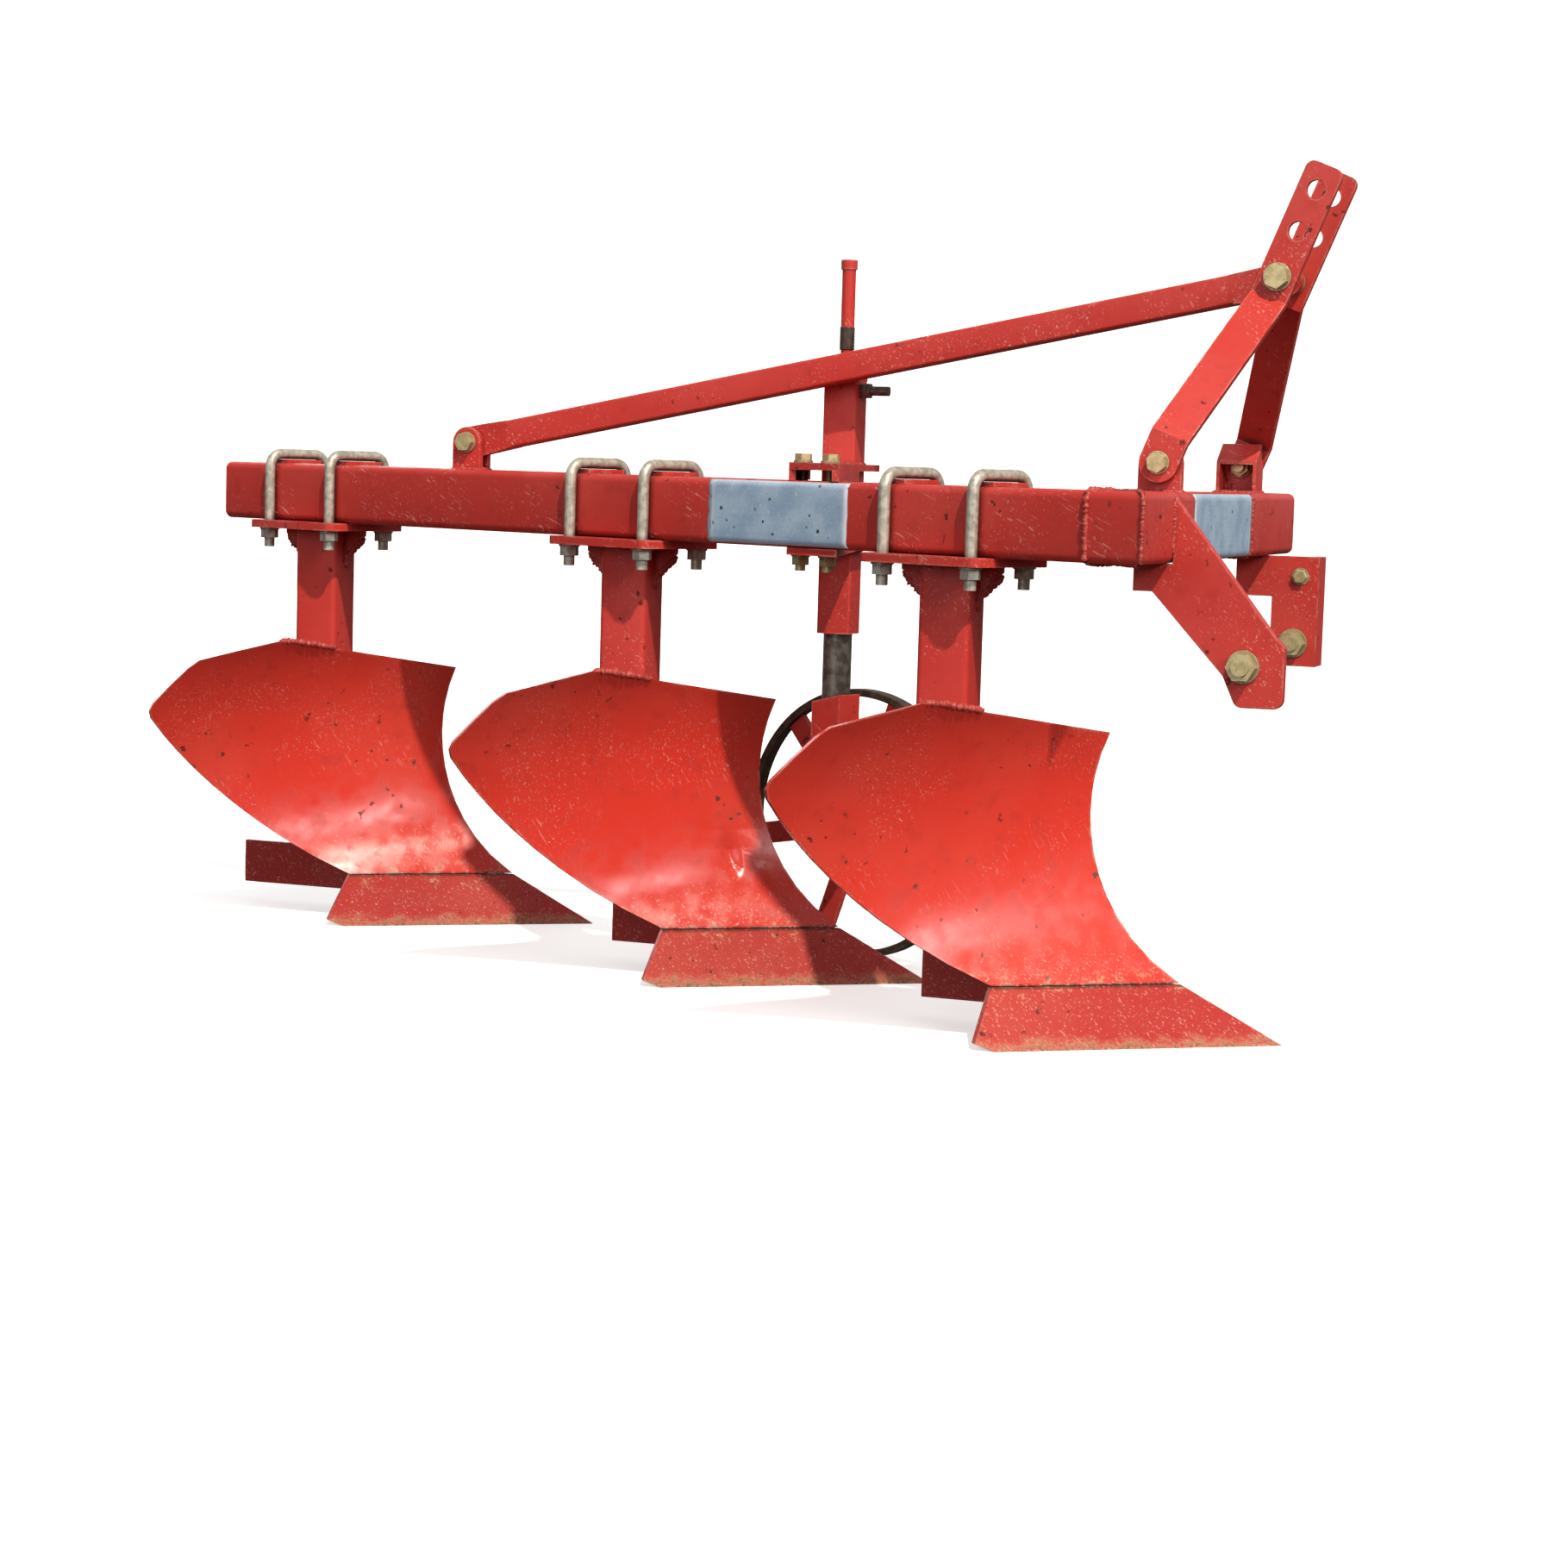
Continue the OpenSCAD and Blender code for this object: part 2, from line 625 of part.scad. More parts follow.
// Round stay between the leg and the tail of the mouldboard, with a tab at each end
module mouldboard_stay(i) {
    hold_len = tail_len * stay_bar_reach;
    hold = surf(hold_len, stay_bar_h) + board_back + behind(mean_angle, tab_t);
    root = [-leg_w / 4, -leg_w / 2 - tab_t / 2, stay_bar_h];
    run = hold - root;
    color(red) at_body(i) {
        sheet([stay_bar_h - tab, stay_bar_h, stay_bar_h + tab], 1,
            function(z) hold_len + tab, function(z) hold_len - tab,
            board_back + behind(mean_angle, fit_gap), board_back + behind(mean_angle, fit_gap + tab_t));
        translate([-leg_w / 2, -leg_w / 2 - tab_t, stay_bar_h - tab / 2]) cube([leg_w / 2, tab_t, tab]);
        translate(root) rotate([0, 0, atan2(run[1], run[0])]) rotate([0, 90, 0])
            cylinder(d = stay_bar_d, h = norm(run), $fn = 48);
    }
}

// Flat mast bar: bent twice across the plough, straight and leaning as seen from the side
module mast_bar(side) {
    foot = mast_foot_span / 2 + (lug_t + mast_t) / 2;
    head = (mast_gap + mast_t) / 2;
    low_bend = mast_w * 0.7;
    high_bend = mast_bolt_reach - mast_w * 0.6;
    slope = atan2(foot - head, high_bend - low_bend);
    step = mast_t / 2 * tan(slope / 2);
    half = mast_t / 2;
    corner = mast_t;
    color(red) on_mast() mirror([0, side > 0 ? 1 : 0, 0]) difference() {
        intersection() {
            translate([-mast_w, 0, 0]) along_x(2 * mast_w)
                polygon([
                    [-foot - half, -mast_w], [-foot + half, -mast_w],
                    [-foot + half, low_bend - step], [-head + half, high_bend - step],
                    [-head + half, mast_len], [-head - half, mast_len],
                    [-head - half, high_bend + step], [-foot - half, low_bend + step]
                ]);
            along_y(-mast_foot_span, mast_foot_span)
                polygon(concat(
                    arc(0, 0, mast_w / 2, 180, 270), arc(0, 0, mast_w / 2, 270, 360),
                    arc(mast_w / 2 - corner, mast_len - corner, corner, 0, 90),
                    arc(corner - mast_w / 2, mast_len - corner, corner, 90, 180)
                ));
        }
        rod_y(foot_bolt_d + 2 * bolt_gap, -foot - mast_t, -foot + mast_t);
        translate([0, 0, mast_bolt_reach])
            rod_y(top_bolt_d + 2 * bolt_gap, -head - mast_t, -head + mast_t);
        for (k = [0, 1])
            translate([0, 0, link_hole_reach + k * link_hole_pitch])
                rod_y(link_hole_d, -head - mast_t, -head + mast_t);
    }
}
module mast_leg_right() {
    mast_bar(-1);
}
module mast_leg_left() {
    mast_bar(1);
}
// Folded hood before a lug, open toward the right: two cheeks and a sloping roof
module lug_hood() {
    for (x = [-lug_w / 2, lug_w / 2 - hood_t])
        translate([x, 0, 0]) along_x(hood_t)
            polygon([
                [1, hood_ridge], [-hood_d, hood_eave],
                [-hood_d, -mast_foot_rise], [1, -mast_foot_rise]
            ]);
    translate([-lug_w / 2, 0, 0]) along_x(lug_w)
        polygon([
            [1, hood_ridge], [-hood_d, hood_eave],
            [-hood_d, hood_eave - hood_t], [1, hood_ridge - hood_t * 1.2]
        ]);
}
module mast_lug(side) {
    y = mast_y + side * mast_foot_span / 2 - lug_t / 2;
    color(red) placed() translate([-beam_w / 2, y, beam_top + mast_foot_rise]) {
        difference() {
            along_y(0, lug_t) polygon(lug_outline(lug_w, mast_foot_rise));
            rod_y(foot_bolt_d + 2 * bolt_gap, -1, lug_t + 1);
        }
        if (side > 0) lug_hood();
    }
}
module mast_foot_bolts() {
    stack = (lug_t / 2 + mast_t);
    color(yellow_zinc) on_mast()
        for (m = [0, 1])
            mirror([0, m, 0]) translate([0, -mast_foot_span / 2, 0]) bolt_y(foot_bolt_d, -stack, lug_t / 2);
}
module mast_top_bolt() {
    out = mast_gap / 2 + mast_t;
    sleeve_d = top_bolt_d * 1.7;
    tongue = tongue_t / 2 + 2 * fit_gap;
    color(yellow_zinc) on_mast() translate([0, 0, mast_bolt_reach]) {
        bolt_y(top_bolt_d, -out, out);
        rod_y(sleeve_d, tongue, mast_gap / 2);
        rod_y(sleeve_d, -mast_gap / 2, -tongue);
    }
}

stay_rear = concat(along_beam(stay_foot, beam_w / 2), beam_top + stay_foot_rise);
stay_front = [
    -beam_w / 2 + mast_bolt_reach * sin(mast_lean),
    mast_y,
    beam_top + mast_foot_rise + mast_bolt_reach * cos(mast_lean)
];
stay_run = stay_front - stay_rear;
stay_len = norm(stay_run);
stay_yaw = atan2(stay_run[1], stay_run[0]);
stay_pitch = asin(stay_run[2] / stay_len);
module at_stay() {
    placed() translate(stay_rear) rotate([0, 0, stay_yaw]) children();
}
// Square tube pressed flat at both ends, with an eye in each flat end
module back_stay() {
    tube_from = tongue_w / 2 + taper_len;
    color(red) at_stay() rotate([0, -stay_pitch, 0]) difference() {
        union() {
            translate([tube_from, -stay_w / 2, -stay_w / 2])
                along_x(stay_len - 2 * tube_from) tube_profile(stay_w, stay_wall, stay_wall);
            for (m = [0, 1])
                translate([m * stay_len, 0, 0]) mirror([m, 0, 0]) {
                    rod_y(tongue_w, -tongue_t / 2, tongue_t / 2);
                    translate([0, -tongue_t / 2, -tongue_w / 2]) cube([tongue_w / 2, tongue_t, tongue_w]);
                    hull() {
                        translate([tongue_w / 2 - 1, -tongue_t / 2, -tongue_w / 2])
                            cube([1, tongue_t, tongue_w]);
                        translate([tube_from, -stay_w / 2, -stay_w / 2]) cube([1, stay_w, stay_w]);
                    }
                }
        }
        rod_y(foot_bolt_d + 2 * bolt_gap, -tongue_t, tongue_t);
        translate([stay_len, 0, 0]) rod_y(top_bolt_d + 4 * bolt_gap, -tongue_t, tongue_t);
    }
}
module stay_lug() {
    inner = tongue_t / 2 + fit_gap;
    color(red) at_stay()
        for (m = [0, 1])
            mirror([0, m, 0]) difference() {
                along_y(inner, ear_t) polygon(lug_outline(tongue_w, stay_foot_rise));
                rod_y(foot_bolt_d + 2 * bolt_gap, inner - 1, inner + ear_t + 1);
            }
}
module stay_bolt() {
    out = tongue_t / 2 + fit_gap + ear_t;
    color(yellow_zinc) at_stay() bolt_y(foot_bolt_d, -out, out);
}

// Right lower-link plate, notched round the lower front corner of the cross tube
module lower_link_plate_right() {
    tongue = beam_w * 0.56;
    tongue_h = beam_h - beam_w * 0.4;
    corner = eye_margin / 4;
    low = link_pin_h - eye_margin;
    from = link_right_y - link_plate_t / 2;
    color(red) placed() difference() {
        along_y(from, link_plate_t)
            polygon(concat(
                [[-tongue, beam_h], [0, beam_h], [0, beam_top - tube_r / 2]],
                [[link_nose - corner, link_pin_h + 3 * corner], [link_nose, link_pin_h + 2 * corner]],
                arc(link_nose - corner, low + corner, corner, 0, -90),
                arc(link_pin_x_right, low + corner, corner, 270, 210),
                [[link_pin_x_right - 2 * corner, link_pin_h - corner]],
                [[-tongue / 2, tongue_h], [-tongue, tongue_h]]
            ));
        translate([link_pin_x_right, 0, link_pin_h])
            rod_y(pin_stud_d + 2 * bolt_gap, from - 1, from + link_plate_t + 1);
    }
}
// Left lower-link bracket: an arm under the cross tube and a folded drop plate
module lower_link_bracket_left() {
    low = link_pin_h - bracket_margin;
    nose = link_pin_x_left + bracket_margin;
    arm_back = beam_w * 0.6;
    arm_low = beam_h - beam_w * 0.66;
    web = bracket_left - bracket_t;
    color(red) placed() difference() {
        union() {
            along_y(web, bracket_t)
                polygon([
                    [-arm_back, beam_h], [nose, beam_h], [nose, low], [nose - 2 * bracket_margin, low],
                    [nose - 2 * bracket_margin, arm_low], [-arm_back, arm_low]
                ]);
            translate([nose - bracket_t, web, low]) cube([bracket_t, bracket_t + flange_d, beam_h - low]);
        }
        translate([link_pin_x_left, 0, link_pin_h])
            rod_y(pin_stud_d + 2 * bolt_gap, web - 1, bracket_left + 1);
    }
}
// Lower-link pin: threaded end with washer and nut on the right, collar up to the shoulder, free end left
module link_pin(plate_from, plate_to, shoulder) {
    nut_h = pin_stud_d * nut_rise;
    free = shoulder + pin_len;
    difference() {
        rod_y(pin_d, plate_to, free);
        translate([0, free - linch_d * 1.2, -pin_d]) cylinder(d = linch_d, h = 2 * pin_d, $fn = 32);
    }
    rod_y(pin_d * collar_wide, plate_to, shoulder);
    rod_y(pin_stud_d, plate_from - washer_t - nut_h - bolt_end / 2, plate_to);
    rod_y(pin_stud_d * washer_wide, plate_from - washer_t, plate_from);
    hex_y(pin_stud_d * head_flat, plate_from - washer_t - nut_h, plate_from - washer_t);
}
module lower_link_pin_right() {
    color(yellow_zinc) placed() translate([link_pin_x_right, 0, link_pin_h])
        link_pin(link_right_y - link_plate_t / 2, link_right_y + link_plate_t / 2, shoulder_right);
}
module lower_link_pin_left() {
    color(yellow_zinc) placed() translate([link_pin_x_left, 0, link_pin_h])
        link_pin(bracket_left - bracket_t, bracket_left, shoulder_left);
}

// Outline of an arm plate: skewed from the beam to a straight pad with the sleeve's square hole
module arm_outline() {
    near = arm_w / 2 / cos(beam_angle);
    half = arm_w / 2;
    pad_end = sleeve_pos[1] + half;
    difference() {
        polygon([
            along_beam(arm_at + near, arm_edge), along_beam(arm_at - near, arm_edge),
            arm_pad + [half, 0], [arm_pad[0] + half, pad_end],
            [arm_pad[0] - half, pad_end], arm_pad - [half, 0]
        ]);
        translate(sleeve_pos) square(sleeve_w + 2 * fit_gap, center = true);
        for (x = [-1, 1])
            translate(along_beam(arm_bolt_at + x * arm_bolt_pitch / 2, beam_w / 2))
                circle(d = arm_bolt_d + 2 * bolt_gap, $fn = 48);
    }
}
// Side wall of the upper arm's channel, on the rear or the front side
module arm_wall(side) {
    end = along_beam(arm_at - side * arm_w / 2 / cos(beam_angle), arm_edge);
    pad = arm_pad + [side * arm_w / 2, 0];
    inward = [-side * arm_t, 0];
    polygon(side > 0 ? [end + inward, end, pad, pad + inward] : [end, end + inward, pad + inward, pad]);
}
module wheel_arm_top() {
    color(red) placed() translate([0, 0, beam_top]) {
        translate([0, 0, channel_h]) linear_extrude(arm_t) arm_outline();
        for (side = [-1, 1])
            linear_extrude(channel_h) arm_wall(side);
    }
}
module wheel_arm_bottom() {
    color(red) placed() translate([0, 0, beam_h - arm_t]) linear_extrude(arm_t) arm_outline();
}
module wheel_arm_bolts() {
    color(yellow_zinc) on_beam(arm_bolt_at)
        for (x = [-1, 1])
            translate([x * arm_bolt_pitch / 2, beam_w / 2, 0]) rotate([-90, 0, 0])
                bolt_y(arm_bolt_d, -beam_top - channel_h - arm_t, arm_t - beam_h);
}
module wheel_sleeve() {
    color(red) at_sleeve(0) {
        translate([-sleeve_w / 2, -sleeve_w / 2, sleeve_low])
            linear_extrude(sleeve_top - sleeve_low) tube_profile(sleeve_w, sleeve_wall, sleeve_wall);
        difference() {
            translate([-sleeve_w / 2, -sleeve_w / 2, sleeve_top]) cube([sleeve_w, sleeve_w, cap_t]);
            translate([0, 0, sleeve_top - 1])
                cylinder(d = spindle_d + 2 * bolt_gap, h = cap_t + 2, $fn = 48);
        }
    }
}
// Threaded spindle with a collar on the sleeve's cap and a plain handle end
module depth_spindle() {
    collar_z = sleeve_top + cap_t;
    screw_low = sleeve_low + shaft_grip / 2;
    handle_z = collar_z + (spindle_top - collar_z) / 3;
    knob_h = spindle_d * 0.7;
    color(red) at_sleeve(0) {
        translate([0, 0, screw_low]) cylinder(d = spindle_d - 2, h = spindle_top - screw_low, $fn = 48);
        translate([0, 0, collar_z]) cylinder(d = spindle_d * 1.6, h = spindle_d / 2, $fn = 6);
        translate([0, 0, handle_z]) cylinder(d = spindle_d, h = spindle_top - handle_z, $fn = 48);
        translate([0, 0, spindle_top - knob_h]) cylinder(d = spindle_d + 4, h = knob_h, $fn = 48);
    }
}
// Lock screw on the sleeve's front wall
module lock_screw() {
    d = spindle_d * 0.7;
    color(grey_steel) at_sleeve(sleeve_top - d) rotate([0, 0, -90]) translate([0, sleeve_w / 2, 0]) {
        hex_y(d * head_flat, 0, d);
        rod_y(d, d, 3 * d);
    }
}
module wheel_shaft() {
    len = sleeve_low + shaft_grip - socket_low;
    color(grey_steel) at_sleeve(socket_low) difference() {
        cylinder(d = shaft_d, h = len, $fn = 64);
        translate([0, 0, shaft_d]) cylinder(d = spindle_d + 2, h = len, $fn = 48);
    }
}
// Square wheel leg with a slanted top, a socket for the shaft and a boss for the axle
module wheel_leg() {
    half = wheel_leg_w / 2;
    low = axle_h - half;
    boss_end = half + axle_boss - hub_gap;
    color(red) at_wheel(0) difference() {
        union() {
            along_y(-half, wheel_leg_w)
                polygon([
                    [-half, low], [half, low], [half, wheel_leg_top], [-half, wheel_leg_top - half / 2]
                ]);
            translate([0, 0, axle_h]) rod_y(hub_d * 0.7, 0, boss_end);
        }
        translate([0, 0, socket_low]) cylinder(d = shaft_d + 2 * run_gap, h = wheel_leg_top, $fn = 64);
        translate([0, 0, axle_h]) rod_y(axle_d + 2 * run_gap, -wheel_leg_w, wheel_leg_w);
    }
}
module wheel_axle() {
    color(yellow_zinc) at_wheel(axle_h)
        bolt_y(axle_d, -wheel_leg_w / 2, wheel_offset + hub_len / 2 + hub_gap);
}
module wheel_spider() {
    spoke_from = hub_d / 2 - spoke_t;
    spoke_to = sqrt(pow(rim_inner, 2) - pow(spoke_w / 2, 2)) - fit_gap;
    color(red) at_wheel(axle_h) translate([0, wheel_offset, 0]) difference() {
        union() {
            rod_y(hub_d, -hub_len / 2, hub_len / 2);
            for (k = [0:spoke_count - 1])
                rotate([0, 360 / spoke_count * k + spoke_turn, 0])
                    translate([spoke_from, -spoke_t / 2, -spoke_w / 2])
                        cube([spoke_to - spoke_from, spoke_t, spoke_w]);
        }
        rod_y(axle_d + 2 * run_gap, -hub_len, hub_len);
    }
}
module wheel_rim() {
    color(rust) at_wheel(axle_h) translate([0, wheel_offset, 0]) difference() {
        rod_y(wheel_d, -rim_w / 2, rim_w / 2);
        rod_y(2 * rim_inner, -rim_w, rim_w);
    }
}

main_beam();
beam_cap();
cross_tube();
cross_tube_cap();
clamp_plates(0);  // clamp_plates_front
clamp_plates(1);  // clamp_plates_middle
clamp_plates(2);  // clamp_plates_rear
u_bolts(0);  // u_bolts_front
u_bolts(1);  // u_bolts_middle
u_bolts(2);  // u_bolts_rear
leg(0);  // leg_front
leg(1);  // leg_middle
leg(2);  // leg_rear
frog(0);  // frog_front
frog(1);  // frog_middle
frog(2);  // frog_rear
share(0);  // share_front
share(1);  // share_middle
share(2);  // share_rear
mouldboard(0);  // mouldboard_front
mouldboard(1);  // mouldboard_middle
mouldboard(2);  // mouldboard_rear
landside(0);  // landside_front
landside(1);  // landside_middle
landside(2);  // landside_rear
mouldboard_stay(0);  // mouldboard_stay_front
mouldboard_stay(1);  // mouldboard_stay_middle
mouldboard_stay(2);  // mouldboard_stay_rear
mast_leg_right();
mast_leg_left();
mast_lug(-1);  // mast_lug_right
mast_lug(1);  // mast_lug_left
mast_foot_bolts();
mast_top_bolt();
back_stay();
stay_lug();
stay_bolt();
lower_link_plate_right();
lower_link_bracket_left();
lower_link_pin_right();
lower_link_pin_left();
wheel_arm_top();
wheel_arm_bottom();
wheel_arm_bolts();
wheel_sleeve();
depth_spindle();
lock_screw();
wheel_shaft();
wheel_leg();
wheel_axle();
wheel_spider();
wheel_rim();
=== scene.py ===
# %% [markdown]
# # A mounted plough in red enamel
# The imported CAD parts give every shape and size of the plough: beam, bodies, hitch and depth wheel.
# This lesson dresses them. It rounds their edges, paints them with worn enamel, and adds what a
# welder and a fitter leave behind: weld beads, overpainted patches, a bit of thread and a small bolt.

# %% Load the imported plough
import json
import math
import random

import bpy
from mathutils import Matrix, Vector


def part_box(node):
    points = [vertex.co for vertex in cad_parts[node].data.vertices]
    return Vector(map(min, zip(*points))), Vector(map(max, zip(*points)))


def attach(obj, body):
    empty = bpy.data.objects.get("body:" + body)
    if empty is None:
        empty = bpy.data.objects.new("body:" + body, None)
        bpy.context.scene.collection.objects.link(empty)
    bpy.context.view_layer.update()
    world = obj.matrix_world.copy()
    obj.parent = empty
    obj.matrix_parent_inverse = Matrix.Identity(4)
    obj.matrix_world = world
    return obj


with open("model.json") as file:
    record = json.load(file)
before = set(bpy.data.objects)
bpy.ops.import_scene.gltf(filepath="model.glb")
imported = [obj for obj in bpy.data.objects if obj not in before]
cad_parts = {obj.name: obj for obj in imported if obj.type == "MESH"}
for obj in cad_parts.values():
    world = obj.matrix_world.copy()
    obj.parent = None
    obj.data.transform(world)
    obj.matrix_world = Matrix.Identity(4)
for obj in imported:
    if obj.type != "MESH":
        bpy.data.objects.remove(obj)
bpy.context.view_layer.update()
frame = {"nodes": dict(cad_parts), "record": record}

nodes = frame["nodes"]
MM = 0.001

# %% [markdown]
# ## Landmarks
# A plough's beam runs at a slant, so places on it are easiest to name as a fitter would: how far
# back from the bend, how far in from the right face, and how high. The points could be typed in as
# coordinates, but then nobody could check them with a rule. One function turns the three distances
# into a point instead. The outer corner of the bend is read from the cross tube's box.

# %% Places on the beam, the cross tube and the legs
BEAM_ANGLE = math.radians(23.4)
TUBE_R = 11.0
BODIES = ("front", "middle", "rear")
cross_low, cross_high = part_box("cross_tube")
BEND = Vector((cross_high.x, cross_low.y, 0))
TUBE_LOW = cross_low.z / MM
TUBE_TOP = cross_high.z / MM


def beam_point(back, across, height):
    """Point on the slanted beam, from millimetres back of the bend, across and above the ground."""
    x = -back * math.cos(BEAM_ANGLE) + across * math.sin(BEAM_ANGLE)
    y = back * math.sin(BEAM_ANGLE) + across * math.cos(BEAM_ANGLE)
    return BEND + Vector((x, y, height)) * MM


def cross_point(left, behind, height):
    """Point on the cross tube, from millimetres left of the bend, behind its front face and high."""
    return BEND + Vector((-behind, left, height)) * MM


def leg_foot(body):
    """Point on the ground under the middle of a plough body's leg."""
    low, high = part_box(f"leg_{body}")
    return Vector(((low.x + high.x) / 2, (low.y + high.y) / 2, 0))


print("bend corner:", tuple(round(v, 4) for v in BEND), "tube heights:", TUBE_LOW, TUBE_TOP)

# %% [markdown]
# ## Tools for materials
# Paint shops give colours as sRGB hex values, while Cycles mixes light in linear values, so one
# function converts them. Another adds a node, sets its properties and joins its sockets, and every
# material and shape group below is made with it. Patterns get their scale from a size in
# millimetres, as it would be measured on the plough.

# %% Colour and node tools
def linear(hex_colour):
    """Linear RGBA of an sRGB hex colour."""
    parts = [int(hex_colour[k:k + 2], 16) / 255 for k in (1, 3, 5)]
    return [c / 12.92 if c <= 0.04045 else ((c + 0.055) / 1.055) ** 2.4 for c in parts] + [1.0]


def add(tree, kind, sockets=None, out=0, **settings):
    """Adds a node with its settings; a socket takes a value or another node's output. Gives one output."""
    node = tree.nodes.new(kind)
    for name, value in settings.items():
        setattr(node, name, value)
    for name, value in (sockets or {}).items():
        if isinstance(value, bpy.types.NodeSocket):
            tree.links.new(value, node.inputs[name])
        else:
            node.inputs[name].default_value = value
    return node.outputs[out] if len(node.outputs) else None


def per_mm(size):
    """Texture scale for a pattern whose cell is this many millimetres wide."""
    return 1 / (size * MM)


def start_material(name):
    """New material; gives it, its tree, its shader and the place on the plough in metres."""
    made = bpy.data.materials.new(name)
    made.use_nodes = True
    tree = made.node_tree
    place = add(tree, "ShaderNodeTexCoord", out="Object")
    return made, tree, tree.nodes["Principled BSDF"], place


print("sample red, linear:", [round(c, 3) for c in linear("#c8352b")])

# %% [markdown]
# ## Wear as coats of paint
# A worn finish is a pile of coats: bleach, dirt, scratches, rust. They could be painted by hand on a
# picture, but a picture needs unwrapped meshes and shows its pixels close up. Here each coat has a
# mask that says where it lies. Some masks are noise of a real size. Others come from the shape:
# Ambient Occlusion finds hollows, where shade is painted into the colour, and the Bevel node finds
# edges, where its rounded normal turns away from the true one.

# %% Masks and coats
# How far out of a corner Ambient Occlusion paints shade into the colour, in millimetres.
PAINTED_SHADE_REACH_MM = 18


def where(tree, *limits):
    """Mask: white where each pattern is past its soft step from one level (black) to another (white)."""
    mask = None
    for pattern, black, white in limits:
        step = add(tree, "ShaderNodeMapRange", {0: pattern, 1: black, 2: white},
                   interpolation_type="SMOOTHSTEP")
        if mask is not None:
            step = add(tree, "ShaderNodeMath", {0: mask, 1: step}, operation="MULTIPLY")
        mask = step
    return mask


def coat(tree, under, hex_colour, cover, *masks):
    """Lays a colour where all the masks are white; cover is how much it hides of the coat below."""
    for mask in masks:
        cover = add(tree, "ShaderNodeMath", {0: mask, 1: cover}, operation="MULTIPLY")
    return add(tree, "ShaderNodeMix", {"Factor": cover, 6: under, 7: linear(hex_colour)}, out=2,
               data_type="RGBA")


def painted_shade_mask(tree):
    """White in corners and under overhangs, found by Ambient Occlusion: where shade is painted into the
    colour.
    """
    hollow = add(tree, "ShaderNodeAmbientOcclusion", {"Distance": PAINTED_SHADE_REACH_MM * MM}, out="AO", samples=4)
    return where(tree, (hollow, 0.8, 0.3))


def edge_mask(tree, radius_mm):
    """White along edges: where a rounded normal turns away from the true one."""
    rounded = add(tree, "ShaderNodeBevel", {"Radius": radius_mm * MM}, samples=4)
    true = add(tree, "ShaderNodeNewGeometry", out="Normal")
    facing = add(tree, "ShaderNodeVectorMath", {0: rounded, 1: true}, out="Value", operation="DOT_PRODUCT")
    return where(tree, (facing, 0.985, 0.86))


def scratch_mask(tree, place, turn, length_mm, width_mm):
    """Short straight scratches: noise drawn out into needles along one direction."""
    needle = (length_mm * MM, width_mm * MM, width_mm * MM)
    aimed = add(tree, "ShaderNodeMapping", {"Vector": place, "Rotation": turn, "Scale": needle},
                vector_type="TEXTURE")
    needles = add(tree, "ShaderNodeTexNoise", {"Vector": aimed, "Scale": 1.0, "Detail": 1.0})
    return where(tree, (needles, 0.67, 0.72))


def join_finish(tree, shader, colour, rough, relief, strength, depth_mm):
    """Joins colour, roughness and relief to the shader; relief is a row of (pattern, how high)."""
    height = 0.0
    for pattern, rise in relief:
        height = add(tree, "ShaderNodeMath", {0: pattern, 1: rise, 2: height}, operation="MULTIPLY_ADD")
    bump = add(tree, "ShaderNodeBump", {"Height": height, "Strength": strength, "Distance": depth_mm * MM})
    for name, value in (("Base Color", colour), ("Roughness", rough), ("Normal", bump)):
        tree.links.new(value, shader.inputs[name])


# Prints how far out of a corner the painted shade reaches.
print("grime reaches", PAINTED_SHADE_REACH_MM, "mm out of a corner")

# %% [markdown]
# ## Red enamel on steel
# Farm machines are dipped or sprayed in a thick alkyd enamel. New, it is an even glossy red. After
# seasons of stones and stacking it is sun-bleached in patches, covered in fine pale scratches,
# chipped to dark steel, and rubbed thin along every edge. One noise could not carry all that, because
# bleach is as wide as a hand and a chip as small as a pea, so each has a noise of its own size.

# %% Patterns in the enamel
# What it is, its cell in millimetres, its detail, and a shift in metres so that no two patterns agree.
ENAMEL_PATTERNS = (
    ("fade", 220, 4.0, 0), ("film", 26, 6.0, 0), ("grain", 5, 3.0, 0), ("dents", 48, 2.0, 0),
    ("handling", 110, 2.0, 5), ("flecks", 7, 3.0, 7), ("chips", 16, 4.0, 29),
)
# Direction, length and width of two sets of scratches. Real ones are 0.2 mm wide; these are drawn
# 2 to 3 mm wide, or the render would lose them.
SCRATCHES = (((0.2, 0.4, -0.5), 60, 2.6), ((0.3, 1.0, 0.6), 45, 2.2))


def enamel_patterns(tree, place):
    """The enamel's noises by name, each with cells of a real size."""
    made = {}
    for name, size_mm, detail, shift in ENAMEL_PATTERNS:
        moved = add(tree, "ShaderNodeVectorMath", {0: place, 1: (shift, shift, shift)})
        made[name] = add(tree, "ShaderNodeTexNoise",
                         {"Vector": moved, "Scale": per_mm(size_mm), "Detail": detail})
    return made


print("enamel patterns:", [row[0] for row in ENAMEL_PATTERNS])

# %% [markdown]
# ## Where the soil rubs
# Share, board and landside slide through the ground. Along the lowest edge the soil takes the enamel
# off, first to ochre primer and stain, then to dark steel, with a ragged upper border. The seam where
# the board meets the share holds damp, so it shows as a rusty line with soil rubbed in beside it.
# Both follow the height above the ground, so height is what drives their masks.

# %% Soil wear and the seam
RAGGED_MM = 30
SEAM_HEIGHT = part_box("share_front")[1].z


